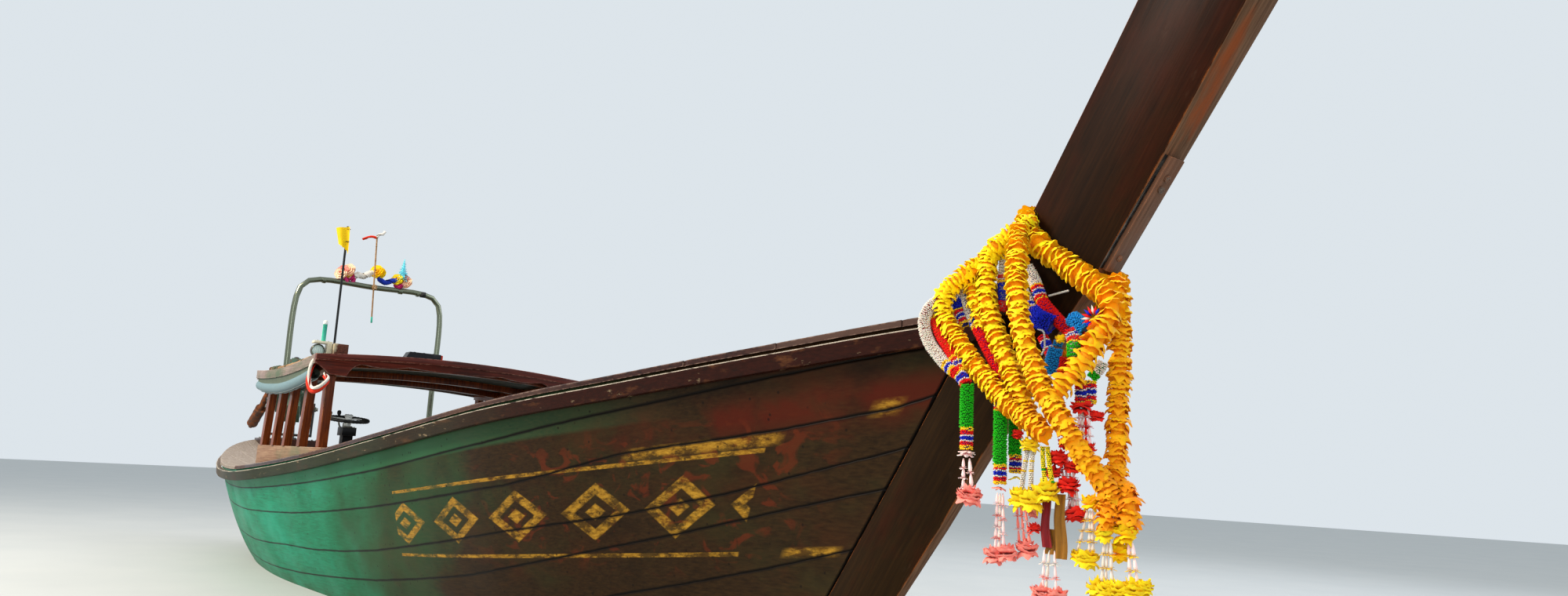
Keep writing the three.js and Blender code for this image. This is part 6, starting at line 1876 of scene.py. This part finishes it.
def engineParts():
    body = "engine_and_tail"
    up, left, ahead = wayOf(0, 0, 1), wayOf(0, 1, 0), wayOf(1, 0, 0)
    both = (-1, 1)
    steel = ("dark_steel", [zinc])
    heads = drive["headBolts"]
    fitting("engineBolts", *steel, [
        *bolts([onEngine(x, side * 88, 245) for x in heads for side in both], up, 0.017),
        *bolts([onEngine(x * 0.93 + 25, side * 58, 300) for x in heads for side in both], up, 0.011),
        *bolts([onEngine(600, side * 108, z) for z in (-92, -14, 72, 148) for side in both], ahead, 0.014),
        *bolts([onEngine(-174.8, 76 * cos(a), 76 * sin(a)) for a in circle(6)], -ahead, 0.014),
        *bolts([onEngine(x, -168, 206) for x in (150, 250, 350, 450, 530)], -left, 0.012),
        *[hexBolt(onEngine(0, side * 236, 0), left * side, 0.038) for side in both],
    ], body=body)
    iron = [
        block((0.130, -0.104, -0.1235), (0.552, 0.104, -0.1153), tipped, 0.002),
        block((0.205, 0.159, -0.004), (0.345, 0.206, 0.052), tipped, 0.006),  # injection pump
        turning(onEngine(345, 182, 22), ahead, [(0, 0.03), (0.05, 0.03), (0.058, 0.022), (0.066, 0.012)]),
        block((0.196, 0.149, 0.002), (0.354, 0.160, 0.040), tipped, 0.002),
        (*turning(onEngine(500, 0, 318), up, [(0, 0.021), (0.004, 0.021), (0.005, 0.027), (0.02, 0.027),
        (0.023, 0.023)], 20), 2),
        (*turning(onEngine(148, 181, 34), up, [(0, 0.010), (0.006, 0.026), (0.012, 0.031), (0.088, 0.031),
        (0.094, 0.033),
            (0.104, 0.033), (0.108, 0.02)]), 3),  # fuel filter
        (*block((0.126, 0.147, 0.126), (0.170, 0.196, 0.139), tipped, 0.002), 2),
        (*turning(onEngine(470, -147, -40), -left, [(0, 0.03), (0.008, 0.03), (0.010, 0.038), (0.072, 0.038),
        (0.080, 0.034),
            (0.083, 0.02)]), 2),  # oil filter
        (*turning(onEngine(128, -198, -52), ahead, [(0, 0.026), (0.02, 0.033), (0.03, 0.038), (0.168, 0.038),
        (0.176, 0.036),
            (0.182, 0.03)]), 2),  # starter motor with its solenoid
        (*turning(onEngine(176, -200, 6), ahead, [(0, 0.019), (0.078, 0.019), (0.082, 0.012), (0.094, 0.010)],
        18), 2),
        (*block((0.150, -0.180, -0.070), (0.176, -0.147, 0.012), tipped, 0.003), 2),
    ]
    for k in range(4):
        at, over = 225 + 33 * k, 196 + 92 * k
        path = [(at, 182, 70), (at, 183, 118), (214 + 66 * k, 166, 156), (over, 144, 171.8),
            (over, 106, 171.8)]
        iron.append((*turning(onEngine(at, 182, 51), up, [(0, 0.011), (0.012, 0.011), (0.013, 0.007),
            (0.024, 0.007)], 12), 1))
        iron.append((*pipe(smoothPath([onEngine(*p) for p in path], 0.008), 0.003, 8), 1))
    fitting("engineFittings", "cast_iron", [greenIron, zinc, darkSteel, creamEnamel], iron, True, body=body)
    belt = []
    for angle in circle(72, 1):
        y, z, r = max(drive["pulleys"], key=lambda w: w[0] * cos(angle) + w[1] * sin(angle) + w[2])
        belt.append([onEngine(drive["beltX"] + dx, y + (r + dr) * cos(angle), z + (r + dr) * sin(angle))
            for dx, dr in ((-9.5, 4), (-7, -14), (7, -14), (9.5, 4))])
    fitting("driveBelt", "wheel_rubber", [beltRubber], [grid(73, 4, lambda i, j: belt[i][j], True)],
        body=body)
    # air cleaner: clamp band, ribs and a wing nut
    fitting("airCleanerTrim", "cream_paint", [creamEnamel, zinc], [
        *[turning(onEngine(330, 236, 232 + lift), up, [(-0.003, wide - 0.004), (0, wide + 0.0022),
        (0.004, wide + 0.0022),
            (0.007, wide - 0.004)], 40) for lift, wide in ((5, 0.1195), (24, 0.1225), (40, 0.1246))],
        (*turning(onEngine(330, 236, 292), up, [(0, 0.016), (0.002, 0.016), (0.003, 0.005), (0.018, 0.005)],
        14), 1),
        (*block((0.308, 0.233, 0.297), (0.352, 0.239, 0.307), tipped, 0.002), 1),
    ], body=body)
    # exhaust: muffler straps, end caps and a short outlet
    a, b, r = drive["muffler"]
    a, b, r = onEngine(*a), onEngine(*b), r / 1000
    way = (b - a).normalized()
    fitting("exhaustStraps", "dark_steel", [hotSteel], [
        *[turning(a + way * (b - a).length * share, way, [(-0.001, r - 0.003), (0, r + 0.002),
        (0.014, r + 0.002),
            (0.015, r - 0.003)], 32) for share in (0.0, 0.28, 0.72, 0.975)],
        turning(b - way * 0.002, way, [(0, 0.022), (0.075, 0.022), (0.075, 0.019), (0.02, 0.019)], 20),
        *[block((x - 0.028, -0.176, 0.181), (x + 0.028, -0.1675, 0.231), tipped, 0.002)
        for x in (0.21, 0.3, 0.39, 0.48)],
    ], body=body)
    # tail: weld bands, bearing collars, a grease nipple
    tube = drive["tube"] / 1000
    fitting("tailBands", "dark_steel", [darkSteel, zinc], [
        *[turning(onEngine(x, 0, 0), -ahead, [(0, tube - 0.002), (0.002, tube + 0.0045),
        (0.032, tube + 0.0045),
            (0.034, tube - 0.002)], 28) for x in drive["bands"]],
        *[turning(onEngine(x, 0, 0), -ahead, [(0, 0.044), (0.002, 0.0495), (0.014, 0.0495), (0.016, 0.044)],
        28)
            for x in (-3918, -4030)],
        (*turning(onEngine(-3975, 0, 44), up, [(0, 0.006), (0.006, 0.006), (0.008, 0.0035), (0.014, 0.0035)],
        10), 1),
    ], body=body)
    # rubber grip with ridges and a throttle lever on the tiller
    a, b = (onEngine(*p) for p in drive["grip"])
    way = (b - a).normalized()
    lever = [a - way * 0.031 + wayOf(*p) / 1000 for p in ((0, 22, 10), (12, 48, 20), (60, 62, 24),
        (110, 60, 22))]
    fitting("tillerGrip", "wheel_rubber", [blackRubber, zinc], [
        pipe([a.lerp(b, k / 60) for k in range(61)], lambda t: 0.0262 + 0.0011 * sin(t * 62) - 0.005 * max(0,
        t - 0.96) * 25, 20),
        (*turning(a - way * 0.045, b - a, [(0, 0.022), (0.002, 0.024), (0.028, 0.024), (0.030, 0.022)], 20),
        1),
        (*pipe(smoothPath(lever, 0.008), lambda t: 0.0045 + 0.002 * (t > 0.88), 10), 1),
    ], True, body=body)
    # fork, bed and propeller
    fitting("forkBolts", *steel, [
        *bolts([onEngine(72 * cos(a + 0.5), 72 * sin(a + 0.5), 14, swung) for a in circle(6)], upward, 0.015),
        *bolts([onEngine(dx, side * 180, 60, swung) for side in both for dx in (-48, 48)], upward, 0.014),
    ], body="swivel")
    x, _, z = drive["pivot"]
    fitting("bedBolts", *steel, bolts([Vector((x + dx, y, z - 0.3)) / 1000 for dx in (-172, 30, 212)
        for y in (-236, 236)],
        upward, 0.020))
    fitting("propellerNut", "propeller_brass", [brass], [hexBolt(onEngine(-4206, 0, 0), -ahead, 0.015)],
        body="propeller")


engineParts()
print("engine dressed")


# floor and light
studio = {
    "floorHalfM": 45.0, "floorColour": "#b4b8b8", "skyColour": "#e2eaf0", "skyStrength": 0.95,
    "view": "Standard",
    # place, size in metres, watts, colour
    "lamps": [
        ((-1.0, -9.0, 9.5), 4.0, 2100.0, "#fff2e0"),
        ((11.0, -6.0, 3.6), 5.0, 220.0, "#f2f6ff"),
        ((3.0, 9.0, 8.0), 8.0, 500.0, "#f4f6ff"),
    ],
}


def paleFloor():
    # the floor lies at the waterline and is open where the hull stands through it
    material, add, shader, place = startMaterial("paleFloor", {"Roughness": 0.6})
    colour, _ = blotches(add, place, studio["floorColour"], "#babdbc", 900, 0.3, 0.7)
    finishMaterial(material, add, shader, colour, None, None)
    h = studio["floorHalfM"]
    points, faces = [], []
    for side in (-1, 1):
        row = []
        for x in stations[::2] + [bowEnd]:
            bottom = column(x, 3)
            if bottom < -6:
                p = (skin(x, -bottom / (rimAt(x) - bottom), side) + inward(x, 0.4, side) * 6) / 1000
                if not row or p.x > row[-1][0] + 0.002:
                    row.append((p.x, p.y))
        row = [(-h, 0), (row[0][0], 0)] + row + [(row[-1][0], 0), (h, 0)]
        for (xa, ya), (xb, yb) in zip(row, row[1:]):
            if xb > xa:
                start = len(points)
                points += [(xa, ya, 0), (xb, yb, 0), (xb, side * h, 0), (xa, side * h, 0)]
                faces.append([start + k for k in range(4)][::side])
    mesh = bpy.data.meshes.new("floor")
    mesh.from_pydata(points, [], faces)
    mesh.materials.append(material)
    floor = bpy.data.objects.new("floor", mesh)
    bpy.context.scene.collection.objects.link(floor)


def studioLight():
    world = bpy.data.worlds.new("studio")
    bpy.context.scene.world = world
    world.use_nodes = True
    background = world.node_tree.nodes["Background"]
    background.inputs["Color"].default_value = linear(studio["skyColour"])
    background.inputs["Strength"].default_value = studio["skyStrength"]
    bpy.context.scene.view_settings.view_transform = studio["view"]
    for place, size, watts, colour in studio["lamps"]:
        lamp = bpy.data.lights.new("softbox", "AREA")
        lamp.size, lamp.energy, lamp.color = size, watts, linear(colour)[:3]
        holder = bpy.data.objects.new("softbox", lamp)
        holder.location = place
        holder.rotation_euler = (Vector((0.5, 0, 0.6)) - Vector(place)).to_track_quat("-Z", "Y").to_euler()
        bpy.context.scene.collection.objects.link(holder)


paleFloor()
studioLight()
